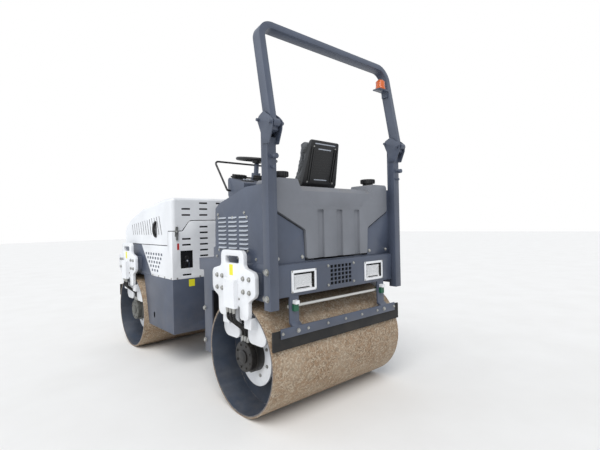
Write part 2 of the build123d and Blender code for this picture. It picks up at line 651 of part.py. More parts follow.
# Console with the steering column, steering wheel, guard rail and travel lever
tilt = radians(STEER_TILT)
column = Vector(0, -sin(tilt), cos(tilt))
wheel_mid = Vector(0, REAR_Y + STEER_Y, STEER_Z)
CONSOLE_SIDE = ((470, DECK_TOP, 0), (555, DECK_TOP, 0), (560, 1210, 60), (672, 1440, 30), (672, 1587, 25),
                (435, 1521, 15), (435, 1470, 15), (480, 1400, 40))
with BuildPart() as steering_console:
    extrude(side_face(-CONSOLE_HALF, CONSOLE_SIDE, REAR_Y), amount=2 * CONSOLE_HALF)
    bar(tuple(wheel_mid - column * 30), tuple(wheel_mid - column * 190), 20)
    bar(tuple(wheel_mid - column * 110), tuple(wheel_mid - column * 190), 38)
keep(steering_console, "steering_console")

with BuildPart() as steering_wheel:
    with BuildSketch(Plane(origin=wheel_mid, x_dir=(1, 0, 0), z_dir=(0, -cos(tilt), -sin(tilt)))):
        with Locations((STEER_R, 0)):
            RegularPolygon(RIM_R, 10)
    revolve(axis=Axis(wheel_mid, column))
    with Locations(Plane(origin=wheel_mid, x_dir=(1, 0, 0), z_dir=column).location):
        with Locations((0, 0, -12)):
            Cylinder(36, 34)
        with PolarLocations(STEER_R / 2, 3, start_angle=-90):
            Box(STEER_R - 10, 24, 7)
keep(steering_wheel, "steering_wheel")

with BuildPart() as guard_rail:
    # Rail points up one side: across, length from the drum axis, height
    climb = ((CONSOLE_HALF, 640, 1475), (CONSOLE_HALF + 26, 640, 1475), (300, 773, 1723))
    points = [(-a, REAR_Y + b, c) for a, b, c in climb] + [(a, REAR_Y + b, c) for a, b, c in reversed(climb)]
    with BuildLine() as route:
        FilletPolyline(*points, radius=[10, 30, 30, 10])
    with BuildSketch(Plane(origin=route.line @ 0, z_dir=route.line % 0)):
        RegularPolygon(RAIL_R, 10)
    sweep()
keep(guard_rail, "guard_rail")

with BuildPart() as travel_lever:
    (back_y, back_z), (fore_y, fore_z) = TOP_LINE[0], TOP_LINE[1]
    slope = (fore_z - back_z) / (fore_y - back_y)
    lever_x = CABINET_IN + 70
    boot = Vector(lever_x, REAR_Y + 180, back_z + slope * (180 - back_y) + FIT)
    square = Vector(0, -slope, 1).normalized()
    bar(tuple(boot), tuple(boot + square * 24), 26)
    bar(tuple(boot + square * 20), tuple(boot + square * 95), 8)
    bar(tuple(boot + square * 90), tuple(boot + square * 130), 19)
    chamfer(travel_lever.edges().group_by(Axis.Z)[-1], 9)
keep(travel_lever, "travel_lever")

# Hitch: block on the steering pin, journal into the front module, steering arm
arm_x = STEER_ARM[0]
arm_y = PIVOT_Y + STEER_ARM[1]
arm_top = HITCH_Z + 10
with BuildPart() as hitch_knuckle:
    bar((0, PIVOT_Y, HITCH_Z - half_h), (0, PIVOT_Y, HITCH_Z + half_h), HITCH_BLOCK_R)
    block((-HITCH_BLOCK_R, HITCH_BLOCK_R), (PIVOT_Y, BOX_BACK - 30), (HITCH_Z - half_h + 8, HITCH_Z + half_h - 8))
    bar((0, BOX_BACK - 35, HITCH_Z), (0, BOX_BACK - FIT, HITCH_Z), BEARING_R)
    bar((0, BOX_BACK - 35, HITCH_Z), (0, BOX_BACK + JOURNAL_L, HITCH_Z), JOURNAL_R)
    arm = [(0, PIVOT_Y - 35, 0), (arm_x + 10, arm_y - 30, 20), (arm_x + 28, arm_y + 4, 20),
           (arm_x - 6, arm_y + 30, 20), (0, PIVOT_Y + 70, 0)]
    extrude(outline(Plane.XY.offset(HITCH_Z - 10), arm), amount=20)
    bar((0, PIVOT_Y, HITCH_Z - half_h), (0, PIVOT_Y, HITCH_Z + half_h), HITCH_PIN_R + FIT, Mode.SUBTRACT)
keep(hitch_knuckle, "hitch_knuckle")

# Steering cylinder between the rear bulkhead and the hitch arm
rod_half = 17.0
cyl_z = arm_top + FIT + rod_half
rod_pin = Vector(arm_x, arm_y, cyl_z)
base_pin = Vector(CYL_X, REAR_Y + BULKHEAD_FRONT + CYL_REACH, cyl_z)
along = (rod_pin - base_pin).normalized()
up = Vector(0, 0, 1)
with BuildPart() as steering_barrel:
    bar(tuple(base_pin + along * 34), tuple(base_pin + along * CYL_L), CYL_R)
    bar(tuple(base_pin), tuple(base_pin + along * 40), 20)
    bar(tuple(base_pin - up * 26), tuple(base_pin + up * 26), 23)
    bar(tuple(base_pin + along * 60), tuple(base_pin + along * (CYL_L + 1)), ROD_R + FIT, Mode.SUBTRACT)
    bar(tuple(base_pin - up * 27), tuple(base_pin + up * 27), CYL_PIN_R + FIT, Mode.SUBTRACT)
keep(steering_barrel, "steering_barrel")

with BuildPart() as steering_rod:
    bar(tuple(rod_pin - along * 300), tuple(rod_pin), ROD_R)
    bar(tuple(rod_pin - up * rod_half), tuple(rod_pin + up * rod_half), ROD_EYE_R)
    bar(tuple(rod_pin), tuple(rod_pin + up * (rod_half + 8)), CYL_PIN_R)
keep(steering_rod, "steering_rod")

# Front chassis: lower box, bearing tube, side plates over the drum and carrier pads
# Box side in side view: length from the drum axis, height, corner radius
BOX_SIDE = ((-BOX_REACH, BOX_BOTTOM, 0), (-405, BOX_BOTTOM, 0), (-296, BOX_TOP - 4, 0),
            (-296, BOX_TOP + PLATE, 0), (-BOX_REACH, BOX_TOP + PLATE, 0))
with BuildPart() as front_frame:
    side_out = BODY_HALF - SHEET
    side_in = side_out - PLATE
    extrude(side_face(-BODY_HALF, BOX_SIDE, FRONT_Y), amount=2 * BODY_HALF)
    extrude(side_face(-BODY_HALF + PLATE, BOX_SIDE, FRONT_Y, PLATE), amount=2 * (BODY_HALF - PLATE),
            mode=Mode.SUBTRACT)
    bar((0, BOX_BACK, HITCH_Z), (0, BOX_BACK + JOURNAL_L - 10, HITCH_Z), BEARING_R)
    bar((0, BOX_BACK - 1, HITCH_Z), (0, BOX_BACK + JOURNAL_L + 1, HITCH_Z), JOURNAL_R + FIT, Mode.SUBTRACT)
    block((-side_out, side_out), (FRONT_Y - 300, FRONT_TIP), (BOX_TOP, BOX_TOP + PLATE))
    for side in SIDES:
        block((side * side_in, side * side_out), (BOX_BACK + 120, FRONT_TIP), (BOX_TOP, FRAME_TOP))
    carrier_pads(FRONT_Y, side_out)
    block((-side_out, side_out), (FRONT_TIP - PLATE, FRONT_TIP), (BOX_TOP, FRAME_TOP))
    for x in (-LAMP_X, LAMP_X):
        block((x - LAMP_W / 2, x + LAMP_W / 2), (FRONT_TIP - 2 * PLATE, FRONT_TIP + 1),
              (LAMP_Z - LAMP_H / 2, LAMP_Z + LAMP_H / 2), Mode.SUBTRACT)
    hinge_y = FRONT_TIP + 12
    for x in (-300, 300):
        for near in (x - 30, x + 18):
            block((near, near + 12), (FRONT_TIP - 1, hinge_y + 12), (HINGE_Z - 14, HINGE_Z + 14))
        cross_bar((x - 30, x + 30), hinge_y, HINGE_Z, HINGE_R)
keep(front_frame, "front_frame")

with BuildPart() as engine:
    floor = BOX_TOP + PLATE
    block((-260, 260), (FRONT_Y - 790, FRONT_Y - 150), (floor + 40, 1230))
    for x in (-220, 220):
        for y in (-730, -210):
            block((x - 30, x + 30), (FRONT_Y + y - 30, FRONT_Y + y + 30), (floor, floor + 40))
keep(engine, "engine")

# Engine cowl: fixed rear wall with slots and a key opening, side panels with vent rows
# Rear wall slots: distance from the middle, height
COWL_SLOTS = ((432, 1086), (432, 1036), (432, 781), (269, 1187), (269, 1137), (269, 1086), (269, 1036),
              (269, 985), (269, 935))
HOOD_SLOTS = ((432, 1342), (432, 1290), (269, 1394), (269, 1342), (269, 1290), (105, 1394))
# Side vents: height, number of openings, first opening's place from the drum axis
COWL_VENTS = ((948, 7, -726), (911, 6, -706), (874, 5, -678), (837, 4, -653), (800, 3, -627))
SEAM = ((465, CORNER_SEAM, 20), (400, COWL_SEAM, 40))


def back_slots(slots, y):
    """Cut level slots through a rear panel, on both sides of the middle."""
    with BuildSketch(Plane.XZ.offset(-y + 1)) as cuts:
        for x, z in slots:
            with Locations((-x, z), (x, z)):
                Rectangle(78, 14)
    extrude(cuts.sketch, amount=-SHEET - 2, mode=Mode.SUBTRACT)


with BuildPart() as engine_cowl:
    floor = BOX_TOP + PLATE
    wall = both_ways([SEAM[1], SEAM[0], (BODY_HALF, CORNER_SEAM, 0), (BODY_HALF, floor, 0)])
    extrude(back_face(BOX_BACK, wall), amount=-SHEET)
    skirt = [(-BOX_REACH, floor, 0), (-489, floor, 0), (-246, FRAME_TOP, 0), (-862, FRAME_TOP, 8),
             (-876, CORNER_SEAM, 0), (-BOX_REACH, CORNER_SEAM, 0)]
    for side in SIDES:
        extrude(side_face(side * BODY_HALF, skirt, FRONT_Y), amount=-side * SHEET)
        with BuildSketch(Plane.YZ.offset(side * (BODY_HALF + 1))) as vents:
            for z, count, first in COWL_VENTS:
                for k in range(count):
                    with Locations((FRONT_Y + first + 61 * k, z)):
                        Rectangle(36, 22)
        extrude(vents.sketch, amount=-side * (SHEET + 2), mode=Mode.SUBTRACT)
    back_slots(COWL_SLOTS, BOX_BACK)
    block((-488, -377), (BOX_BACK - 1, BOX_BACK + SHEET + 1), (837, 986), Mode.SUBTRACT)
keep(engine_cowl, "engine_cowl")


def is_top_edge(edge, half):
    """True for a hood edge that runs along the top line on either side."""
    middle = edge.center()
    return abs(abs(middle.X) - half) < 1 and middle.Z > CORNER_SEAM + 10 and middle.Y > BOX_BACK + 2 * SHEET


# Hood: one shell over the engine, hinged at its front lower edge
# Hood top line, front to rear: length from the drum axis, height, corner radius
HOOD_LINE = ((FRONT_END - 1, 1150, 50), (208, 1222, 50), (48, 1292, 150), (-262, 1371, 300),
             (-767, 1435, 300), (-BOX_REACH, 1437, 25))
low = FRAME_TOP + HOOD_GAP
room_line = [(-BOX_REACH, low - 30, 0), (FRONT_END - 1, low - 30, 0), *HOOD_LINE]
with BuildPart() as hood_room:
    extrude(side_face(-BODY_HALF + SHEET, room_line, FRONT_Y, SHEET), amount=2 * (BODY_HALF - SHEET))
    fillet(hood_room.edges().filter_by(lambda e: is_top_edge(e, BODY_HALF - SHEET)), HOOD_EDGE_R - SHEET)

with BuildPart() as hood:
    shape = [(-BOX_REACH, CORNER_SEAM + HOOD_GAP, 0), (-872, CORNER_SEAM + HOOD_GAP, 0), (-858, low, 0),
             (FRONT_END - 1, low, 0), *HOOD_LINE]
    extrude(side_face(-BODY_HALF, shape, FRONT_Y), amount=2 * BODY_HALF)
    fillet(hood.edges().filter_by(lambda e: is_top_edge(e, BODY_HALF)), HOOD_EDGE_R)
    add(hood_room.part, mode=Mode.SUBTRACT)
    gap = both_ways([(SEAM[1][0], COWL_SEAM + HOOD_GAP, 40), (SEAM[0][0] + HOOD_GAP, CORNER_SEAM + HOOD_GAP, 0)])
    extrude(back_face(BOX_BACK - 1, gap), amount=-SHEET - 2, mode=Mode.SUBTRACT)
    with BuildSketch(Plane.YZ.offset(-BODY_HALF - 1)) as slots:
        for k in range(13):
            with Locations(Location((FRONT_Y - 713 + 59.5 * k, 1206 - 3 * k), -18 + 0.4 * k)):
                Rectangle(15, 175 - 6 * k)
    for x in (-BODY_HALF - 1, BODY_HALF - SHEET - 1):
        extrude(slots.sketch.moved(Location((x + BODY_HALF + 1, 0, 0))), amount=SHEET + 2, mode=Mode.SUBTRACT)
    back_slots(HOOD_SLOTS, BOX_BACK)
    for x in (-300, 300):
        bar_x = (x - 17, x + 17)
        block(bar_x, (FRONT_TIP + 1, hinge_y + KNUCKLE_R), (HINGE_Z, low + 5))
        cross_bar(bar_x, hinge_y, HINGE_Z, KNUCKLE_R)
        block(bar_x, (FRONT_TIP - 4, FRONT_TIP + 8), (low, low + 40))
        cross_bar(bar_x, hinge_y, HINGE_Z, HINGE_R + FIT, Mode.SUBTRACT)
keep(hood, "hood")

with BuildPart() as hood_handles:
    handle_y = FRONT_Y - 615
    for side in SIDES:
        out = side * (BODY_HALF + 26)
        for z in (1112, 1232):
            cross_bar((side * BODY_HALF, out), handle_y, z, 9)
        bar((out, handle_y, 1103), (out, handle_y, 1241), 9)
keep(hood_handles, "hood_handles")
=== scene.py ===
"""Looks of the articulated tandem roller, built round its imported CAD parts.

Metres, +Y forward, +X the machine's right, +Z up. Places are taken from the CAD
nodes' boxes; lengthwise places of each half count from that half's drum axis.
"""
import math

import bpy
import numpy as np
from mathutils import Matrix, Vector


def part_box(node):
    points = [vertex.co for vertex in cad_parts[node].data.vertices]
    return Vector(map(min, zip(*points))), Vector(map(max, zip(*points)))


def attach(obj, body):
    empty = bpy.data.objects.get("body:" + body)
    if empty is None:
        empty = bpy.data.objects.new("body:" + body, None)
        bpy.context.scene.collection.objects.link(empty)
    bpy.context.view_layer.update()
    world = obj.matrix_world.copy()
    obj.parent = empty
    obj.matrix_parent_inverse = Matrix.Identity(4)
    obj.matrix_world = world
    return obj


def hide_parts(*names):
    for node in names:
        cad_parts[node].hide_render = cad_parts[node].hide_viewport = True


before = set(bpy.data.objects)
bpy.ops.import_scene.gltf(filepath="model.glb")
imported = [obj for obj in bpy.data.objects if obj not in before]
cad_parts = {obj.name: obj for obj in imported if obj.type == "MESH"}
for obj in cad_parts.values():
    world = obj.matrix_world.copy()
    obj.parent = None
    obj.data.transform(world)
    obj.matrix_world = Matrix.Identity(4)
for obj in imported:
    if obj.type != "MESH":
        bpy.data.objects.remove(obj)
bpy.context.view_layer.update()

SIDES = (-1, 1)


def middle(node):
    """Centre of a CAD node's box."""
    low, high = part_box(node)
    return (low + high) / 2


REAR = middle("rear_drum").y
FRONT = middle("front_drum").y
BODY_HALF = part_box("engine_cowl")[1].x
HOOD_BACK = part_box("engine_cowl")[0].y
HANGER_OUT = 0.625
COVER_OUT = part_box("rear_hangers")[1].x
AXLE_Z = 0.36
LAMP_X, LAMP_Z = 0.332, 0.852
SCRAPER_ARM_X = 0.411
SCRAPER_REACH = 0.370
SCRAPER_BOLT_Z = 0.569
BEAM_D = 0.023
CHASSIS_END = {"rear": 0.316, "front": 0.257}
HANDLE_Z = 1.172
STEER_AXIS = (0, -0.139, 0.990)
# Each end: name, drum axis, outward direction, CAD module it belongs to
ENDS = (("rear", REAR, -1, "rear_module"), ("front", FRONT, 1, "front_module"))


# Node groups and materials

def srgb(*rgb):
    """Linear colour from 0-255 screen values."""
    return tuple(((v / 255 + 0.055) / 1.055) ** 2.4 if v > 10 else v / 255 / 12.92 for v in rgb) + (1.0,)


class Tree:
    """Short hand for building a node tree."""

    def __init__(self, tree):
        self.tree = tree

    def node(self, kind, **settings):
        made = self.tree.nodes.new(kind)
        for key, value in settings.items():
            setattr(made, key, value)
        return made

    def put(self, socket, value):
        """Link a socket, or set its plain value."""
        if hasattr(value, "is_output"):
            self.tree.links.new(value, socket)
        else:
            socket.default_value = value

    def math(self, operation, *values, clamp=False):
        made = self.node("ShaderNodeMath", operation=operation, use_clamp=clamp)
        for socket, value in zip(made.inputs, values):
            self.put(socket, value)
        return made.outputs[0]

    def ramp(self, value, low, high):
        """0 below low, 1 above high, smooth between."""
        made = self.node("ShaderNodeMapRange", interpolation_type="SMOOTHSTEP")
        for name, v in (("Value", value), ("From Min", low), ("From Max", high)):
            self.put(made.inputs[name], v)
        return made.outputs["Result"]

    def mix(self, factor, a, b):
        made = self.node("ShaderNodeMix", data_type="RGBA")
        self.put(made.inputs["Factor"], factor)
        self.put(made.inputs[6], a)
        self.put(made.inputs[7], b)
        return made.outputs[2]

    def noise(self, place, scale, detail=4.0, rough=0.55):
        made = self.node("ShaderNodeTexNoise")
        for name, v in (("Vector", place), ("Scale", scale), ("Detail", detail), ("Roughness", rough)):
            self.put(made.inputs[name], v)
        return made.outputs["Fac"]

    def object_place(self):
        return self.node("ShaderNodeTexCoord").outputs["Object"]


def new_group(name, inputs, outputs):
    """Empty shader group with named sockets: inputs (name, kind, start value), outputs (name, kind)."""
    group = bpy.data.node_groups.new(name, "ShaderNodeTree")
    for label, kind, start in inputs:
        group.interface.new_socket(label, in_out="INPUT", socket_type=kind).default_value = start
    for label, kind in outputs:
        group.interface.new_socket(label, in_out="OUTPUT", socket_type=kind)
    t = Tree(group)
    return t, t.node("NodeGroupInput").outputs, t.node("NodeGroupOutput").inputs


def make_wear_group():
    """Uneven tone, worn edges, rust specks, and dust on level faces and low down."""
    colour, value = "NodeSocketColor", "NodeSocketFloat"
    t, given, out = new_group("Wear", (
        ("Paint", colour, (0.5, 0.5, 0.5, 1)), ("Bare", colour, (0.4, 0.4, 0.4, 1)),
        ("Dust", colour, srgb(150, 138, 120)), ("Mottle", value, 0.12), ("Edge", value, 0.5),
        ("Specks", value, 0.1), ("Dusting", value, 0.25), ("Roughness", value, 0.45)),
        (("Colour", colour), ("Roughness", value), ("Height", value)))
    place = t.object_place()
    broad = t.noise(place, 3.5, 5)
    fine = t.noise(place, 55.0, 6, 0.7)
    dark = t.node("ShaderNodeMix", data_type="RGBA", blend_type="MULTIPLY")
    t.put(dark.inputs["Factor"], given["Mottle"])
    t.put(dark.inputs[6], given["Paint"])
    grey = t.node("ShaderNodeCombineColor")
    for socket in grey.inputs[:3]:
        t.put(socket, t.ramp(broad, 0.3, 0.75))
    t.put(dark.inputs[7], grey.outputs[0])
    normal = t.node("ShaderNodeNewGeometry").outputs["Normal"]
    soft = t.node("ShaderNodeBevel", samples=3)
    t.put(soft.inputs["Radius"], 0.004)
    bend = t.node("ShaderNodeVectorMath", operation="DOT_PRODUCT")
    t.put(bend.inputs[0], normal)
    t.put(bend.inputs[1], soft.outputs[0])
    sharp = t.ramp(t.math("SUBTRACT", 1.0, bend.outputs["Value"]), 0.02, 0.14)
    broken = t.ramp(t.noise(place, 38.0, 5, 0.7), 0.45, 0.62)
    edge = t.math("MULTIPLY", t.math("MULTIPLY", sharp, broken), given["Edge"])
    specks = t.math("MULTIPLY", t.ramp(fine, 0.66, 0.72), given["Specks"])
    worn = t.mix(t.math("MAXIMUM", edge, specks), dark.outputs[2], given["Bare"])
    split = t.node("ShaderNodeSeparateXYZ")
    t.put(split.inputs[0], normal)
    level = t.ramp(split.outputs["Z"], 0.3, 0.95)
    high = t.node("ShaderNodeSeparateXYZ")
    t.put(high.inputs[0], place)
    low = t.math("SUBTRACT", 1.0, t.ramp(high.outputs["Z"], 0.1, 1.0))
    cover = t.math("MAXIMUM", level, t.math("MULTIPLY", low, 0.6))
    cloud = t.ramp(t.noise(place, 9.0, 6, 0.65), 0.3, 0.7)
    dusty = t.math("MULTIPLY", t.math("MULTIPLY", cover, cloud), given["Dusting"])
    t.put(out["Colour"], t.mix(dusty, worn, given["Dust"]))
    rough = t.math("ADD", given["Roughness"], t.math("MULTIPLY", t.math("ADD", dusty, edge), 0.35), clamp=True)
    t.put(out["Roughness"], rough)
    t.put(out["Height"], t.math("ADD", fine, t.math("MULTIPLY", edge, -0.5)))
    return t.tree


def make_stone_group():
    """Rolled surface: rust and stone dust pressed into speckles of several sizes."""
    colour, value = "NodeSocketColor", "NodeSocketFloat"
    t, given, out = new_group("Rolled", (
        ("Light", colour, srgb(186, 172, 152)), ("Dark", colour, srgb(126, 108, 88)),
        ("Rust", colour, srgb(152, 124, 96)), ("Scale", value, 130.0)),
        (("Colour", colour), ("Height", value)))
    place = t.object_place()
    grain = t.node("ShaderNodeTexVoronoi")
    t.put(grain.inputs["Vector"], place)
    t.put(grain.inputs["Scale"], given["Scale"])
    tone = t.node("ShaderNodeSeparateColor")
    t.put(tone.inputs[0], grain.outputs["Color"])
    cloud = t.noise(place, 34.0, 10, 0.8)
    stone = t.mix(t.ramp(tone.outputs[0], 0.25, 0.75), given["Dark"], given["Light"])
    rust = t.mix(t.ramp(cloud, 0.4, 0.64), stone, given["Rust"])
    pits = t.math("MULTIPLY", t.ramp(t.noise(place, 190.0, 5, 0.7), 0.54, 0.66), 0.7)
    speckled = t.mix(pits, rust, given["Dark"])
    pale = t.math("MULTIPLY", t.ramp(t.noise(place, 5.0, 5, 0.6), 0.35, 0.7), 0.35)
    t.put(out["Colour"], t.mix(pale, speckled, given["Light"]))
    t.put(out["Height"], t.math("ADD", grain.outputs["Distance"], cloud))
    return t.tree


wear_group = make_wear_group()
stone_group = make_stone_group()


def new_material(name):
    """Material with its tree emptied down to the surface shader."""
    made = bpy.data.materials.new(name)
    made.use_nodes = True
    return made, Tree(made.node_tree), made.node_tree.nodes["Principled BSDF"].inputs


def add_bump(t, shader, height, strength, distance=0.001):
    bump = t.node("ShaderNodeBump")
    for name, v in (("Height", height), ("Strength", strength), ("Distance", distance)):
        t.put(bump.inputs[name], v)
    t.put(shader["Normal"], bump.outputs[0])


def worn(name, paint, bare=srgb(120, 112, 104), metal=0.0, bump=0.12, coat=0.0, **wear):
    """Finish from the wear group over a plain shader."""
    made, t, shader = new_material(name)
    group = t.node("ShaderNodeGroup", node_tree=wear_group)
    t.put(group.inputs["Paint"], paint)
    t.put(group.inputs["Bare"], bare)
    for label, v in wear.items():
        t.put(group.inputs[label.capitalize()], v)
    t.put(shader["Base Color"], group.outputs["Colour"])
    t.put(shader["Roughness"], group.outputs["Roughness"])
    shader["Metallic"].default_value = metal
    shader["Coat Weight"].default_value = coat
    shader["Coat Roughness"].default_value = 0.25
    add_bump(t, shader, group.outputs["Height"], bump)
    return made


slate = worn("slate_paint", srgb(76, 84, 101), srgb(58, 52, 48), mottle=0.22, edge=0.4, specks=0.06,
             dusting=0.16, roughness=0.42, coat=0.15)
white = worn("white_paint", srgb(238, 240, 243), srgb(120, 104, 88), mottle=0.1, edge=0.3, specks=0.1,
             dusting=0.22, roughness=0.36, coat=0.2)
tank_grey = worn("tank_plastic", srgb(124, 127, 134), srgb(150, 150, 152), mottle=0.16, edge=0.35, specks=0.1,
                 dusting=0.25, roughness=0.55)
black_plastic = worn("black_plastic", srgb(21, 21, 23), srgb(60, 60, 60), mottle=0.2, edge=0.3, specks=0.03,
                     dusting=0.1, roughness=0.42)
black_rubber = worn("black_rubber", srgb(19, 19, 20), srgb(52, 50, 48), mottle=0.3, edge=0.2, specks=0.06,
                    dusting=0.12, roughness=0.7, bump=0.3)
black_metal = worn("black_metal", srgb(20, 20, 22), srgb(70, 66, 62), mottle=0.4, edge=0.35, specks=0.25,
                   dusting=0.1, roughness=0.4)
alloy = worn("cast_alloy", srgb(128, 130, 126), srgb(60, 56, 50), metal=0.35, mottle=0.5, edge=0.3, specks=0.6,
             dusting=0.25, roughness=0.55, bump=0.4)
# Pale slate: on the louvre lips it is a painted highlight of their tops; it is also the pale colour of the seat
# shell slots and console switches
pale_paint_and_highlight = worn("pale_paint_and_highlight", srgb(176, 182, 192), srgb(90, 92, 98), mottle=0.15, edge=0.3, specks=0.05,
                 dusting=0.1, roughness=0.35)
green = worn("green_clamp", srgb(24, 92, 66), srgb(70, 110, 90), mottle=0.2, edge=0.2, dusting=0.1,
             roughness=0.45)
zinc = worn("zinc_steel", srgb(176, 176, 172), srgb(110, 92, 74), metal=0.75, mottle=0.25, edge=0.2,
            specks=0.25, dusting=0.15, roughness=0.38)
chrome = worn("chrome", srgb(225, 226, 228), srgb(150, 150, 150), metal=1.0, mottle=0.1, edge=0.1, specks=0.03,
              dusting=0.05, roughness=0.16)
yellow = worn("yellow_film", srgb(240, 232, 48), srgb(200, 190, 80), mottle=0.12, edge=0.1, specks=0.1,
              dusting=0.15, roughness=0.4)
red = worn("red_tag", srgb(190, 42, 36), srgb(120, 60, 50), mottle=0.12, edge=0.1, dusting=0.1, roughness=0.4)
seat_cover = worn("seat_cover", srgb(40, 41, 44), srgb(64, 64, 66), mottle=0.25, edge=0.1, specks=0.05,
                  dusting=0.15, roughness=0.58, bump=0.35)
# Flat black for painted shade: sheets behind openings, the louvre slots, the box holes and the grille, and
# painted shadow strips in the lamps
painted_shade_black = worn("black_painted_shade", srgb(9, 9, 10), srgb(20, 20, 20), mottle=0.3, edge=0.0, specks=0.0,
                  dusting=0.05, roughness=0.9)
amber, t, shader = new_material("amber_lens")
place = t.object_place()
t.put(shader["Base Color"], t.mix(t.noise(place, 40), srgb(236, 120, 20), srgb(214, 84, 8)))
ribs = t.node("ShaderNodeTexWave", bands_direction="Z")
t.put(ribs.inputs["Vector"], place)
t.put(ribs.inputs["Scale"], 60.0)
add_bump(t, shader, ribs.outputs["Fac"], 0.35)
shader["Roughness"].default_value = 0.22
shader["Transmission Weight"].default_value = 0.25
shader["Coat Weight"].default_value = 0.5

glass, t, shader = new_material("lamp_glass")
t.put(shader["Base Color"], t.mix(t.noise(t.object_place(), 60), (1, 1, 1, 1), (0.93, 0.94, 0.95, 1)))
shader["Roughness"].default_value = 0.04
shader["Transmission Weight"].default_value = 1.0
shader["IOR"].default_value = 1.3


def drum_material():
    """Rolled outside with a bright worn rim, painted heads inside."""
    made, t, shader = new_material("drum_steel")
    rolled = t.node("ShaderNodeGroup", node_tree=stone_group)
    inner = t.node("ShaderNodeGroup", node_tree=wear_group)
    for label, v in (("Paint", srgb(60, 70, 86)), ("Bare", srgb(196, 184, 166)), ("Mottle", 0.4), ("Edge", 1.0),
                     ("Specks", 0.08), ("Dusting", 0.12), ("Roughness", 0.4)):
        t.put(inner.inputs[label], v)
    attribute = t.node("ShaderNodeAttribute", attribute_name="rolled")
    out = attribute.outputs["Fac"]
    t.put(shader["Base Color"], t.mix(out, inner.outputs["Colour"], rolled.outputs["Colour"]))
    t.put(shader["Roughness"], t.math("ADD", t.math("MULTIPLY", out, 0.35), 0.5))
    shader["Metallic"].default_value = 0.1
    add_bump(t, shader, t.math("MULTIPLY", out, rolled.outputs["Height"]), 0.35)
    return made


def spray_material():
    """Pale bar with green clamps round each arm."""
    made, t, shader = new_material("spray_bar")
    split = t.node("ShaderNodeSeparateXYZ")
    t.put(split.inputs[0], t.object_place())
    off = t.math("ABSOLUTE", t.math("SUBTRACT", t.math("ABSOLUTE", split.outputs["X"]), 0.411))
    clamp = t.math("SUBTRACT", 1.0, t.ramp(off, 0.0142, 0.0146))
    group = t.node("ShaderNodeGroup", node_tree=wear_group)
    t.put(group.inputs["Paint"], t.mix(clamp, srgb(214, 214, 210), srgb(64, 118, 78)))
    t.put(group.inputs["Bare"], srgb(120, 110, 96))
    t.put(shader["Base Color"], group.outputs["Colour"])
    t.put(shader["Roughness"], group.outputs["Roughness"])
    add_bump(t, shader, group.outputs["Height"], 0.15)
    return made


# Meshes from arrays

def make_piece(name, shapes, body, finish, smooth=None):
    """One mesh piece from a list of (points, faces), riding on a CAD body."""
    points, faces, start = [], [], 0
    for v, f in shapes:
        points.append(np.asarray(v, float))
        faces += [[i + start for i in face] for face in f]
        start += len(v)
    data = bpy.data.meshes.new(name)
    data.from_pydata(np.concatenate(points).tolist(), [], faces)
    data.validate()
    data.update()
    if smooth is not None:
        data.polygons.foreach_set("use_smooth", np.ones(len(data.polygons), bool))
        data.set_sharp_from_angle(angle=math.radians(smooth))
    made = bpy.data.objects.new(name, data)
    bpy.context.scene.collection.objects.link(made)
    data.materials.append(finish)
    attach(made, body)
    return made


def grid_faces(rows, columns, wrap):
    """Quads of a rows by columns grid of points, closed across its columns if wrap."""
    i, j = np.meshgrid(np.arange(rows - 1), np.arange(columns if wrap else columns - 1), indexing="ij")
    k = (j + 1) % columns
    return np.stack([i * columns + j, i * columns + k, (i + 1) * columns + k, (i + 1) * columns + j],
                    -1).reshape(-1, 4).tolist()


def turned(profile, sides):
    """Solid of revolution about Z: x = r cos a, y = r sin a, z = h, for each (r, h) and angle a."""
    a = np.arange(sides) * 2 * np.pi / sides
    r, h = np.array(profile, float).T
    points = np.stack([np.outer(r, np.cos(a)), np.outer(r, np.sin(a)), np.repeat(h[:, None], sides, 1)], -1)
    last = (len(profile) - 1) * sides
    caps = [list(range(sides))[::-1], list(range(last, last + sides))]
    return points.reshape(-1, 3), grid_faces(len(profile), sides, True) + caps


def prism(corners, depth):
    """Flat outline in XY carried up Z by depth."""
    flat = np.array(corners, float)
    n = len(flat)
    points = np.concatenate([np.c_[flat, np.zeros(n)], np.c_[flat, np.full(n, depth)]])
    return points, grid_faces(2, n, True) + [list(range(n))[::-1], list(range(n, 2 * n))]


def slab(size, radius=0.0, steps=4):
    """Corners of a rectangle, rounded: each corner's centre plus radius times (cos a, sin a)."""
    w, h = size[0] / 2 - radius, size[1] / 2 - radius
    if radius == 0:
        return [(-w, -h), (w, -h), (w, h), (-w, h)]
    turns = np.linspace(0, np.pi / 2, steps + 1)
    parts = []
    for k, (cx, cy) in enumerate(((w, h), (-w, h), (-w, -h), (w, -h))):
        a = turns + k * np.pi / 2
        parts.append(np.c_[cx + radius * np.cos(a), cy + radius * np.sin(a)])
    return np.concatenate(parts).tolist()


def facing(axis, up=(0, 0, 1)):
    """Turn that carries Z to the axis and Y near to up."""
    z = np.array(axis, float) / np.linalg.norm(axis)
    x = np.cross(up, z)
    if np.linalg.norm(x) < 1e-6:
        x = np.array((1.0, 0, 0))
    x = x / np.linalg.norm(x)
    return np.stack([x, np.cross(z, x), z], 1)


def placed(shape, places, axis, up=(0, 0, 1)):
    """Copies of a shape at each place, its Z along the axis."""
    points, faces = shape
    turn = facing(axis, up)
    return [(np.asarray(points) @ turn.T + np.array(p), faces) for p in places]


def swept(path, radius, sides=12):
    """Round tube along a path: at each point a ring of the radius, square to the path there."""
    p = np.array(path, float)
    along = np.gradient(p, axis=0)
    along /= np.linalg.norm(along, axis=1)[:, None]
    side = np.cross(along, (0.31, 0.22, 0.93))
    side /= np.linalg.norm(side, axis=1)[:, None]
    other = np.cross(along, side)
    a = np.arange(sides) * 2 * np.pi / sides
    rings = p[:, None] + radius * (side[:, None] * np.cos(a)[:, None] + other[:, None] * np.sin(a)[:, None])
    last = (len(p) - 1) * sides
    caps = [list(range(sides))[::-1], list(range(last, last + sides))]
    return rings.reshape(-1, 3), grid_faces(len(p), sides, True) + caps


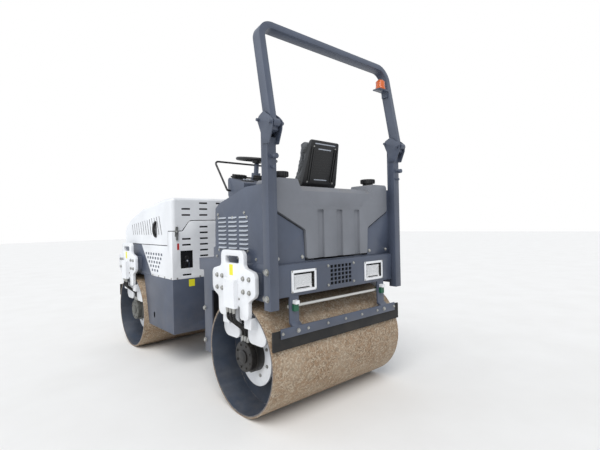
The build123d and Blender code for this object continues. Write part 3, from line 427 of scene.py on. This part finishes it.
def hex_head(radius, height):
    """Washer and hexagon head in one turned stack."""
    washer = turned([(radius * 1.25, 0), (radius * 1.25, height * 0.22), (radius * 0.9, height * 0.22)], 20)
    head = turned([(radius, height * 0.2), (radius, height * 0.85), (radius * 0.86, height)], 6)
    return [washer, head]


def heads(places, axis, radius, height):
    """Hexagon heads on a face at each place."""
    return [copy for part in hex_head(radius, height) for copy in placed(part, places, axis)]


# CAD nodes: soft edges and finishes

FINISH = {
    "slate": (slate, ("beam", "scraper"), ("rear_frame", "side_cabinets", "roll_bar_posts", "roll_bar_hoop",
                                           "seat_pedestal", "front_frame", "steering_console")),
    "white": (white, ("hangers", "motor_plates"), ("engine_cowl", "hood")),
    "rubber": (black_rubber, ("buffers", "hoses", "scraper_blade"), ()),
    "alloy": (alloy, (), ("front_motors",)),
    "metal": (black_metal, (), ("rear_motors", "guard_rail", "hitch_knuckle", "steering_barrel", "engine",
                                         "hood_handles")),
    "plastic": (black_plastic, (), ("tank_caps", "seat_shell", "steering_wheel", "travel_lever")),
    "tank": (tank_grey, (), ("water_tank",)),
    "seat": (seat_cover, (), ("seat_back", "seat_cushion")),
    "steel": (zinc, (), ("steering_rod",)),
    "amber": (amber, (), ("beacon",)),
    "lamp": (white, ("lamps",), ()),
    "spray": (spray_material(), ("spray_bar",), ()),
    "drum": (drum_material(), ("drum",), ()),
}
ROUND_EDGE = {"water_tank": 0.006, "seat_shell": 0.004, "steering_console": 0.006, "tank_caps": 0.003}
for finish, per_end, single in FINISH.values():
    for node in [f"{end[0]}_{kind}" for end in ENDS for kind in per_end] + list(single):
        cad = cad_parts[node]
        cad.data.materials.clear()
        cad.data.materials.append(finish)
        weld = cad.modifiers.new("weld", "WELD")
        weld.merge_threshold = 1e-5
        bevel = cad.modifiers.new("bevel", "BEVEL")
        bevel.width = ROUND_EDGE.get(node, 0.0012)
        bevel.segments = 2
        bevel.limit_method = "ANGLE"
        bevel.angle_limit = math.radians(40)
        bevel.harden_normals = True
        cad.data.polygons.foreach_set("use_smooth", np.ones(len(cad.data.polygons), bool))
        # The hood's long flat sides shade as flat once large faces weigh most
        if node == "hood":
            cad.modifiers.new("normals", "WEIGHTED_NORMAL").weight = 100

for name, axis_y, way, body in ENDS:
    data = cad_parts[f"{name}_drum"].data
    co = np.zeros(len(data.vertices) * 3)
    data.vertices.foreach_get("co", co)
    co = co.reshape(-1, 3)
    reach = np.hypot(co[:, 1] - axis_y, co[:, 2] - middle(f"{name}_drum").z)
    outside = data.attributes.new("rolled", "FLOAT", "POINT")
    outside.data.foreach_set("value", (reach > reach.max() - 0.004).astype(np.float32))


# Both ends: bolts, fittings, lamps, scraper

def dress_end(name, axis_y, way, body):
    """Small parts that repeat on the rear and front modules."""
    bolts, small, fittings, dark, covers = [], [], [], [], []
    for side in SIDES:
        out = (side, 0, 0)
        face = side * HANGER_OUT
        bolts += heads([(face, axis_y + y, z) for y in (-0.186, -0.122, 0.122, 0.186) for z in (0.793, 0.872)],
                       out, 0.0125, 0.011)
        small += heads([(face, axis_y + y, 0.745) for y in (-0.075, 0.075)],
                       out, 0.006, 0.005)
        outer = [(-0.062, 0.686), (0.062, 0.686), (0.062, 0.845), (-0.062, 0.845)]
        inner = [(y, z + 0.022 * (z > 0.8)) for y, z in outer]
        points = [(face, axis_y + y, z) for y, z in inner]
        points += [(side * (COVER_OUT + 0.0006), axis_y + y, z) for y, z in outer]
        covers.append((points, [[0, 1, 2, 3], [4, 5, 6, 7], [0, 1, 5, 4], [1, 2, 6, 5], [2, 3, 7, 6],
                                [3, 0, 4, 7]]))
        ring = [(k + 0.5) * math.pi / 4 for k in range(8)]
        cover_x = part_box(f"{name}_motors")[1].x
        dark += heads([(side * cover_x, axis_y + 0.076 * math.cos(a), AXLE_Z + 0.076 * math.sin(a))
                       for a in ring], out, 0.007, 0.006)
        dark += placed(turned([(0.042, 0), (0.042, 0.008), (0.03, 0.014), (0.012, 0.014)], 24),
                       [(side * cover_x, axis_y, AXLE_Z)], out)
        for x in [-0.033 + 0.009 * k for k in range(4)]:
            dark += placed(turned([(0.091, 0), (0.0955, 0.0015), (0.0955, 0.0035), (0.091, 0.005)], 48),
                           [(side * (cover_x + x), axis_y, AXLE_Z)], out)
        bolts += heads([(side * 0.465, axis_y + 0.138 * math.cos(a), AXLE_Z + 0.138 * math.sin(a))
                        for a in ring], out, 0.009, 0.008)
        collar = turned([(0.011, 0), (0.0125, 0.002), (0.0125, 0.02), (0.0105, 0.023), (0.0105, 0.036)], 14)
        nut = turned([(0.0145, 0.004), (0.0145, 0.016)], 6)
        for top, foot in ((-0.036, -0.03), (0, 0), (0.036, 0.03)):
            at = (side * 0.536, axis_y + foot, 0.452)
            fittings += placed(collar, [at], (0, 0, 1)) + placed(nut, [at], (0, 0, 1))
            at = (side * 0.64, axis_y + top, 0.6895)
            fittings += placed(collar, [at], (0, 0, -1)) + placed(nut, [at], (0, 0, -1))
        sticker = placed(prism(slab((0.042, 0.068), 0.002), 0.0004), [(face, axis_y + 0.012, 0.917)], out)
        make_piece(f"{name}_sticker_{'left' if side < 0 else 'right'}", sticker, body, yellow)
    beam_face = axis_y + way * CHASSIS_END[name] + way * BEAM_D
    outward = (0, way, 0)
    for x in (-LAMP_X, LAMP_X):
        front = beam_face + way * 0.008
        small += heads([(x + a * 0.095, front, LAMP_Z + b * 0.061) for a in SIDES for b in SIDES],
                       outward, 0.0042, 0.003)
    bolts += heads([(x, beam_face, z) for x in (-0.122, 0.122) for z in (0.798, 0.922)], outward, 0.0075, 0.007)
    bar_face = axis_y + way * SCRAPER_REACH
    bolts += heads([(x, bar_face, SCRAPER_BOLT_Z) for x in (-0.525, -0.33, -0.163, 0, 0.163, 0.33, 0.525)],
                   outward, 0.0075, 0.007)
    if way < 0:
        bolts += heads([(x, bar_face, SCRAPER_BOLT_Z) for x in (-0.408, 0.408)], outward, 0.011, 0.009)
    arm_face = axis_y + way * (CHASSIS_END[name] + BEAM_D)
    green_parts, caps = [], []
    for x in (-SCRAPER_ARM_X, SCRAPER_ARM_X):
        green_parts += placed(prism(slab((0.034, 0.04), 0.004), 0.02), [(x, arm_face, 0.70)], outward)
        caps += placed(prism(slab((0.03, 0.022), 0.003), 0.03), [(x + 0.002, arm_face, 0.733)], outward)
    make_piece(f"{name}_spray_clamps", green_parts, body, green)
    make_piece(f"{name}_spray_caps", caps, body, white)
    make_piece(f"{name}_hose_covers", covers, body, white)
    make_piece(f"{name}_bolts", bolts, body, zinc, 35)
    make_piece(f"{name}_small_bolts", small, body, zinc, 35)
    make_piece(f"{name}_motor_ribs", dark, body, black_metal if way < 0 else alloy, 35)
    make_piece(f"{name}_hose_fittings", fittings, body, zinc, 35)
    # Black sheet behind the grille openings is painted shade
    grille_shade = placed(prism(slab((0.26, 0.168)), 0.002), [(0, beam_face - way * 0.0125, 0.86)], outward)
    make_piece(f"{name}_grille_painted_shade", grille_shade, body, painted_shade_black)


for end in ENDS:
    dress_end(*end)


def lamp_reflector(centre, way):
    """Shallow silvered dish with upright flutes.

    depth = 6.2 mm (1 - u^4)(1 - v^4) less ripples of 0.4 mm cos(24 pi u) (1 - v^4), u and v from -1 to 1.
    """
    u, v = np.meshgrid(np.linspace(-1, 1, 49), np.linspace(-1, 1, 25), indexing="ij")
    depth = 0.0062 * (1 - u ** 4) * (1 - v ** 4) - 0.0004 * np.cos(u * 24 * np.pi) * (1 - v ** 4)
    points = np.stack([centre[0] + u * 0.083, centre[1] - way * depth, centre[2] + v * 0.049], -1)
    return points.reshape(-1, 3), grid_faces(49, 25, False)


for name, axis_y, way, body in ENDS:
    low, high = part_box(f"{name}_lamps")
    rim = low.y if way < 0 else high.y
    shapes, panes = [], []
    shade_y = rim - way * 0.0006
    shade = []
    for x in (-LAMP_X, LAMP_X):
        shapes.append(lamp_reflector((x, rim - way * 0.0012, LAMP_Z), way))
        panes += placed(prism(slab((0.167, 0.099), 0.004), 0.001), [(x, rim - way * 0.0013, LAMP_Z)],
                        (0, way, 0))
        # Black strips inside each lamp's rim, at its right edge, top and lower edge, are painted shadow
        for size, place in (((0.016, 0.096), (x + 0.072, shade_y, LAMP_Z)),
                            ((0.158, 0.009), (x, shade_y, 0.896)), ((0.1, 0.006), (x - 0.01, shade_y, 0.812))):
            shade += placed(prism(slab(size, 0.002), 0.001), [place], (0, way, 0))
    make_piece(f"{name}_lamp_reflectors", shapes, body, chrome, 40)
    make_piece(f"{name}_lamp_painted_shadows", shade, body, painted_shade_black)
    make_piece(f"{name}_lamp_glass", panes, body, glass)


# Hood, cowl and cabinets: dark sheets of painted shade behind the slots, fittings on the rear face

def shade_sheet(name, outline, depth, places, axis, body):
    """Dark sheet of painted shade behind openings."""
    make_piece(name, placed(prism(outline, depth), places, axis), body, painted_shade_black)


back = (0, -1, 0)


hood_line = [(-0.80, 1.07), (0.10, 1.07), (0.10, 1.20), (0.0, 1.225), (-0.262, 1.29), (-0.80, 1.335)]
flanks = [([(side * (BODY_HALF - 0.0052 - k), FRONT + y, z) for k in (0, 0.002) for y, z in hood_line],
           prism(hood_line, 1)[1]) for side in SIDES]
make_piece("hood_shade_sheet_sides", flanks, "hood", painted_shade_black)
shade_sheet("hood_shade_sheet_back", [(-0.49, 1.27), (0.49, 1.27), (0.49, 1.365), (-0.49, 1.365)],
       0.002, [(0, HOOD_BACK + 0.008, 0)], back, "hood")
shade_sheet("hood_shade_sheet_top_slots", slab((0.66, 0.03)), 0.002, [(0, HOOD_BACK + 0.008, 1.392)], back, "hood")
shade_sheet("cowl_shade_sheet_back", [(-0.54, 0.765), (0.54, 0.765), (0.54, 1.14), (0.45, 1.15), (0.38, 1.23),
                            (-0.38, 1.23), (-0.45, 1.15), (-0.54, 1.14)],
       0.002, [(0, HOOD_BACK + 0.024, 0)], back, "front_module")
shade_sheet("cowl_shade_sheet_sides", slab((0.44, 0.22)), 0.001,
       [(side * (BODY_HALF - 0.012), FRONT - 0.545, 0.875) for side in SIDES], (1, 0, 0), "front_module")

key_panel = placed(prism(slab((0.1, 0.138), 0.006), 0.002), [(-0.4325, HOOD_BACK + 0.016, 0.9115)], back)
key_panel += placed(turned([(0.017, 0), (0.017, 0.005), (0.012, 0.008)], 24),
                    [(-0.428, HOOD_BACK + 0.014, 0.925)], back)
key_panel += placed(prism(slab((0.034, 0.05), 0.004), 0.012), [(-0.445, HOOD_BACK + 0.016, 0.868)], back)
make_piece("key_panel", key_panel, "front_module", black_plastic, 35)
key = placed(turned([(0.012, 0.0), (0.012, 0.003), (0.005, 0.004), (0.005, 0.01)], 20),
             [(-0.425, HOOD_BACK + 0.010, 0.9)], back)
key += placed(prism(slab((0.008, 0.026), 0.002), 0.012), [(-0.423, HOOD_BACK + 0.002, 0.892)], back)
key += placed(prism(slab((0.012, 0.045), 0.003), 0.002), [(-0.415, HOOD_BACK - 0.002, 0.862)], back)
make_piece("key_switch", key, "front_module", chrome, 35)
latch = placed(prism(slab((0.03, 0.05), 0.006), 0.008), [(-0.521, HOOD_BACK, 1.132)], back)
latch += placed(prism(slab((0.022, 0.034), 0.008), 0.014), [(-0.521, HOOD_BACK, 1.175)], back)
latch += placed(prism(slab((0.018, 0.03), 0.006), 0.012), [(-0.519, HOOD_BACK, 1.092)], back)
latch += placed(turned([(0.009, 0), (0.009, 0.016), (0.006, 0.018)], 18), [(-0.521, HOOD_BACK, 1.15)], back)
make_piece("hood_latch", latch, "front_module", zinc, 35)
tag = placed(prism(slab((0.018, 0.055), 0.003), 0.0005), [(-0.508, HOOD_BACK, 1.023)], back)
make_piece("red_tag", tag, "front_module", red)
label = placed(prism(slab((0.054, 0.06), 0.003), 0.0005), [(-0.391, HOOD_BACK, 0.708)], back)
make_piece("box_label", label, "front_module", yellow)
row = np.linspace(-0.52, 0.52, 6)
cowl_bolts = heads([(x, HOOD_BACK, 0.756) for x in row], back, 0.0065, 0.005)
for side in SIDES:
    cowl_bolts += heads([(side * BODY_HALF, FRONT + y, 0.756) for y in np.linspace(-0.93, -0.52, 4)],
                        (side, 0, 0), 0.0065, 0.005)
make_piece("cowl_bolts", cowl_bolts, "front_module", zinc, 35)
# Black ovals on the box sides are painted shade standing for holes
oval = placed(prism(slab((0.03, 0.055), 0.0149, 8), 0.0006),
              [(side * BODY_HALF, FRONT - 0.535, 0.393) for side in SIDES], (1, 0, 0))
make_piece("box_hole_shade", oval, "front_module", painted_shade_black)


def louvre_lip(side, y, z):
    """Pressed lip over a slot, u from -1 to 1 along it and v from 0 to 1 down it.

    out = 7.5 mm (1 - u^8) sin(v pi / 2), drop = 11.5 mm v (1 - 0.3 u^8).
    """
    u, v = np.meshgrid(np.linspace(-1, 1, 25), np.linspace(0, 1, 7), indexing="ij")
    out = BODY_HALF + 0.0002 + 0.0075 * (1 - u ** 8) * np.sin(v * np.pi / 2)
    points = np.stack([side * out, REAR + y + 0.051 * u, z + 0.0085 - 0.0115 * v * (1 - 0.3 * u ** 8)], -1)
    return points.reshape(-1, 3), grid_faces(25, 7, False)


lips, slots = [], []
for side in SIDES:
    for column in range(3):
        for line in range(8):
            y, z = 0.092 + 0.13 * (column - 1), 1.142 + 0.028 * (line - 3.5)
            lips.append(louvre_lip(side, y, z))
            slots += placed(prism(slab((0.096, 0.0105)), 0.0006), [(side * 0.5556, REAR + y, z)], (1, 0, 0))
# The lips are painted pale as a highlight of their tops, and the black strips under them are painted shade in
# the slots
make_piece("louvre_lips", lips, "rear_module", pale_paint_and_highlight, 60)
make_piece("louvre_slot_shade", slots, "rear_module", painted_shade_black)

# Rear module: bolts, tank seam, cap flutes
cabinet_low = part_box("side_cabinets")[0]
bolts = heads([(x, cabinet_low.y, 0.992) for x in (-0.51, -0.32, 0.32, 0.51)], back, 0.0095, 0.008)
for side in SIDES:
    bolts += heads([(side * BODY_HALF, REAR + y, z) for y, z in ((-0.268, 0.915), (-0.262, 0.763))],
                   (side, 0, 0), 0.018, 0.015)
    bolts += heads([(side * BODY_HALF, REAR + y, 0.985) for y in (0.03, 0.30, -0.17)],
                   (side, 0, 0), 0.008, 0.006)
    bolts += heads([(side * BODY_HALF, REAR + 0.49, z) for z in (0.37, 0.60)], (side, 0, 0), 0.014, 0.012)
for side in SIDES:
    bolts += heads([(side * -cabinet_low.x, REAR + y, z) for y, z in
                    ((0.275, 1.268), (-0.051, 1.27), (0.266, 1.244), (0.09, 1.243), (-0.077, 1.242),
                     (-0.081, 1.032), (0.266, 1.029))], (side, 0, 0), 0.0085, 0.006)
    bolts += heads([(side * 0.612, REAR - 0.346, z) for z in (0.925, 0.775)], (side, 0, 0), 0.016, 0.012)
make_piece("rear_module_bolts", bolts, "rear_module", zinc, 35)

cap_low, cap_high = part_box("tank_caps")
flutes = []
for x in (cap_low.x + 0.052, cap_high.x - 0.052):
    for k in range(18):
        a = k * math.pi / 9
        flutes += placed(prism(slab((0.009, 0.026), 0.003), 0.003),
                         [(x + 0.0515 * math.cos(a), (cap_low.y + cap_high.y) / 2 + 0.0515 * math.sin(a),
                           1.498)],
                         (math.cos(a), math.sin(a), 0))
make_piece("cap_flutes", flutes, "rear_module", black_plastic)
seam = placed(prism(slab((1.036, 0.003)), 0.0006), [(0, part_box("water_tank")[0].y, 1.311)], back)
make_piece("tank_seam", seam, "rear_module", tank_grey)

# Bow handles on the hood sides stand for the plain CAD ones

def bow(side, low, high, out):
    """Half ellipse from the lower to the upper foot: |x| = BODY_HALF + (out - BODY_HALF) sin a,

    z = middle - 64 mm cos a, for a from 0 to pi.
    """
    a = np.linspace(0, np.pi, 25)
    y = (low.y + high.y) / 2
    return np.stack([side * (BODY_HALF + (out - BODY_HALF) * np.sin(a)), np.full(25, y),
                     (low.z + high.z) / 2 - 0.064 * np.cos(a)], -1)


low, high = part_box("hood_handles")
grips = []
for side in SIDES:
    grips.append(swept(bow(side, low, high, high.x - 0.012), 0.0115, 14))
    grips += placed(prism(slab((0.034, 0.15), 0.016, 6), 0.004),
                    [(side * BODY_HALF, (low.y + high.y) / 2, HANDLE_Z)], (side, 0, 0))
handles = make_piece("hood_grips", grips, "hood", black_plastic, 50)
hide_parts("hood_handles")

# Seat: padded cushion, back pad under a clear plastic wrap whose whitish sheen is painted on, ribbed shell,
# recline knob

def padded_copy(node, name, shrink, cap, finish):
    """Soft piece from a CAD pad: remeshed, swollen by cloth pressure, its travel capped, then smoothed once."""
    low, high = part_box(node)
    centre = np.array((low + high) / 2)
    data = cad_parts[node].data.copy()
    co = np.zeros(len(data.vertices) * 3)
    data.vertices.foreach_get("co", co)
    co = centre + (co.reshape(-1, 3) - centre) * shrink
    data.vertices.foreach_set("co", co.ravel())
    pad = bpy.data.objects.new(name, data)
    bpy.context.scene.collection.objects.link(pad)
    bpy.context.view_layer.objects.active = pad
    pad.select_set(True)
    remesh = pad.modifiers.new("remesh", "REMESH")
    remesh.mode = "VOXEL"
    remesh.voxel_size = 0.0065
    bpy.ops.object.modifier_apply(modifier="remesh")
    count = len(pad.data.vertices)
    start = np.zeros(count * 3)
    pad.data.vertices.foreach_get("co", start)
    start = start.reshape(-1, 3)
    cloth = pad.modifiers.new("cloth", "CLOTH")
    cloth.settings.use_pressure = True
    cloth.settings.uniform_pressure_force = 4.0
    cloth.settings.effector_weights.gravity = 0.0
    cloth.point_cache.frame_start, cloth.point_cache.frame_end = 1, 20
    for step in range(1, 21):
        bpy.context.scene.frame_set(step)
    swollen = pad.evaluated_get(bpy.context.evaluated_depsgraph_get()).data
    end = np.zeros(count * 3)
    swollen.vertices.foreach_get("co", end)
    move = end.reshape(-1, 3) - start
    size = np.linalg.norm(move, axis=1)[:, None]
    pad.modifiers.remove(cloth)
    bpy.context.scene.frame_set(1)
    start = start + move * np.minimum(1, cap / np.maximum(size, 1e-9))
    start = np.clip(start, np.array(low) - 0.004, np.array(high) + 0.004)
    pad.data.vertices.foreach_set("co", start.ravel())
    pad.data.update()
    smooth = pad.modifiers.new("smooth", "SUBSURF")
    smooth.levels = smooth.render_levels = 1
    bpy.ops.object.modifier_apply(modifier="smooth")
    pad.select_set(False)
    pad.data.polygons.foreach_set("use_smooth", np.ones(len(pad.data.polygons), bool))
    pad.data.materials.clear()
    pad.data.materials.append(finish)
    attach(pad, "rear_module")
    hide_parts(node)


# Back pad under its clear wrap: the whitish edges, specks and streaks over dark vinyl are a painted sheen of
# the wrap
film_and_sheen = worn("clear_wrap_painted_sheen", srgb(70, 72, 75), srgb(232, 235, 238), mottle=0.95, edge=0.9, specks=0.35,
            dusting=0.2, roughness=0.12, bump=0.6)
padded_copy("seat_cushion", "cushion_pad", 0.965, 0.016, seat_cover)
padded_copy("seat_back", "back_pad", 0.955, 0.014, film_and_sheen)

shell_foot, shell_top = np.array((REAR - 0.149, 1.466)), np.array((REAR - 0.222, 1.752))
shell_up = (shell_top - shell_foot) / np.linalg.norm(shell_top - shell_foot)
shell_out = np.array((-shell_up[1], shell_up[0]))


def on_shell(x, up, out=0.0):
    """Point on the shell's rear face: across, distance up the slope, distance outward."""
    y, z = shell_foot + shell_up * up + shell_out * out
    return (x, y, z)


shell_axis, shell_rise = (0, *shell_out), (0, *shell_up)
ribs, slots, studs = [], [], []
for x in (-0.118, -0.098, 0.098, 0.118):
    ribs += placed(prism(slab((0.008, 0.23), 0.0039), 0.006), [on_shell(x, 0.135, -0.001)],
                   shell_axis, shell_rise)
for k in range(9):
    ribs += placed(prism(slab((0.17, 0.006), 0.0029), 0.004), [on_shell(0, 0.075 + 0.018 * k, -0.001)],
                   shell_axis, shell_rise)
for up, wide in ((0.272, 0.19), (0.238, 0.12), (0.03, 0.12)):
    slots += placed(prism(slab((wide, 0.007), 0.0034), 0.0015), [on_shell(0, up, 0.0)], shell_axis, shell_rise)
studs += heads([on_shell(x, up) for x, up in ((-0.1, 0.25), (0.1, 0.25), (-0.12, 0.012), (0.12, 0.012))],
               shell_axis, 0.0055, 0.004)
make_piece("shell_ribs", ribs, "rear_module", black_plastic, 40)
make_piece("shell_slots", slots, "rear_module", pale_paint_and_highlight)
make_piece("shell_bolts", studs, "rear_module", zinc, 35)
knob = placed(turned([(0.006, 0), (0.013, 0.006), (0.015, 0.014), (0.011, 0.022), (0.004, 0.025)], 20),
              [(-0.2, REAR - 0.07, 1.49)], (-1, 0, 0))
knob += placed(turned([(0.004, 0), (0.004, 0.05)], 10), [(-0.16, REAR - 0.07, 1.49)], (-1, 0, 0))
make_piece("recline_knob", knob, "rear_module", yellow, 50)

# Console: black pads, column boot and a row of plain switches
deck_foot, deck_top = np.array((REAR + 0.44, 1.523)), np.array((REAR + 0.668, 1.587))
deck_rise = (deck_top - deck_foot) / np.linalg.norm(deck_top - deck_foot)
deck_out = np.array((-deck_rise[1], deck_rise[0]))


def on_deck(x, along, out=0.0):
    """Point on the console's sloping top: across, distance up the slope, distance off it."""
    y, z = deck_foot + deck_rise * along + deck_out * out
    return (x, y, z)


deck_axis, deck_way = (0, *deck_out), (0, *deck_rise)
pads = placed(prism(slab((0.12, 0.05), 0.012), 0.03), [on_deck(x, 0.195) for x in (-0.16, 0.16)],
              deck_axis, deck_way)
pads += placed(prism(slab((0.44, 0.012), 0.005), 0.012), [on_deck(0, 0.228)], deck_axis, deck_way)
pads += placed(prism(slab((0.1, 0.07), 0.01), 0.004), [on_deck(x, 0.09) for x in (-0.15, 0.15)],
               deck_axis, deck_way)
boot = [(0.05, 0), (0.046, 0.01), (0.05, 0.018), (0.043, 0.026), (0.046, 0.034), (0.039, 0.042)]
pads += placed(turned(boot, 28), [on_deck(0, 0.15)], STEER_AXIS)
make_piece("console_pads", pads, "rear_module", black_rubber, 40)
switches = placed(prism(slab((0.014, 0.022), 0.003), 0.012),
                  [on_deck(x, 0.095) for x in (-0.175, -0.15, -0.125)], deck_axis, deck_way)
switches += placed(turned([(0.011, 0), (0.011, 0.012), (0.008, 0.014)], 18),
                   [on_deck(x, 0.09) for x in (0.13, 0.165)], deck_axis)
make_piece("console_switches", switches, "rear_module", pale_paint_and_highlight, 40)

# Steering wheel: cap on the hub
wheel_low, wheel_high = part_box("steering_wheel")
hub_centre = (wheel_low + wheel_high) / 2
hub_cap = placed(turned([(0.036, 0), (0.036, 0.004), (0.03, 0.009), (0.012, 0.011)], 28),
                 [(0, hub_centre.y + STEER_AXIS[1] * 0.006, hub_centre.z + 0.006)], STEER_AXIS)
make_piece("wheel_hub_cap", hub_cap, "steering_wheel", black_plastic, 40)

# Camera, light and floor

def aim_camera():
    """Camera solved from the photograph: place from the rear drum's axis, turn, tilt and roll."""
    azimuth, elevation, roll = (math.radians(v) for v in (41.04, -0.15, -1.21))
    ahead = Vector((math.sin(azimuth) * math.cos(elevation), math.cos(azimuth) * math.cos(elevation),
                    math.sin(elevation)))
    right = ahead.cross(Vector((0, 0, 1))).normalized()
    above = right.cross(ahead)
    x = right * math.cos(roll) + above * math.sin(roll)
    y = above * math.cos(roll) - right * math.sin(roll)
    turn = Matrix((x, y, -ahead)).transposed().to_4x4()
    data = bpy.data.cameras.new("camera")
    data.sensor_width = 36.0
    data.lens = 394.7 / 600 * 36.0
    data.clip_start, data.clip_end = 0.05, 60.0
    camera = bpy.data.objects.new("camera", data)
    camera.matrix_world = Matrix.Translation((-1.912, REAR - 2.130, 1.193)) @ turn
    bpy.context.scene.collection.objects.link(camera)
    bpy.context.scene.camera = camera


aim_camera()


def soft_sun(name, direction, spread, power, colour=(1, 1, 1)):
    """Broad even light from a direction: angle spread in degrees."""
    data = bpy.data.lights.new(name, "SUN")
    data.angle = math.radians(spread)
    data.energy = power
    data.color = colour
    lamp = bpy.data.objects.new(name, data)
    lamp.rotation_mode = "QUATERNION"
    lamp.rotation_quaternion = (-Vector(direction)).to_track_quat("-Z", "Y")
    bpy.context.scene.collection.objects.link(lamp)


soft_sun("key", (-0.9, -0.75, 1.5), 40, 1.7, (1.0, 0.985, 0.96))
soft_sun("side", (-1.0, 0.5, 0.7), 60, 0.55, (0.94, 0.97, 1.0))

world = bpy.data.worlds.new("studio")
bpy.context.scene.world = world
world.use_nodes = True
t = Tree(world.node_tree)
path = t.node("ShaderNodeLightPath").outputs
clear = t.math("MAXIMUM", path["Is Camera Ray"], path["Is Transmission Ray"])
backdrop = t.math("MAXIMUM", clear, t.math("MULTIPLY", path["Is Glossy Ray"], 0.75))
background = world.node_tree.nodes["Background"]
t.put(background.inputs["Color"], t.mix(clear, (0.86, 0.9, 0.96, 1), (1, 1, 1, 1)))
t.put(background.inputs["Strength"], t.math("ADD", 0.72, t.math("MULTIPLY", backdrop, 0.28)))

floor_finish, t, shader = new_material("floor")
t.put(shader["Base Color"], t.mix(t.noise(t.object_place(), 2.0, 6), srgb(226, 224, 221), srgb(236, 235, 233)))
shader["Roughness"].default_value = 0.9
floor_mesh = bpy.data.meshes.new("floor")
floor_mesh.from_pydata([(-40, -40, 0), (40, -40, 0), (40, 40, 0), (-40, 40, 0)], [], [(0, 1, 2, 3)])
floor_mesh.materials.append(floor_finish)
floor = bpy.data.objects.new("floor", floor_mesh)
bpy.context.scene.collection.objects.link(floor)
bpy.context.scene.view_settings.view_transform = "Standard"
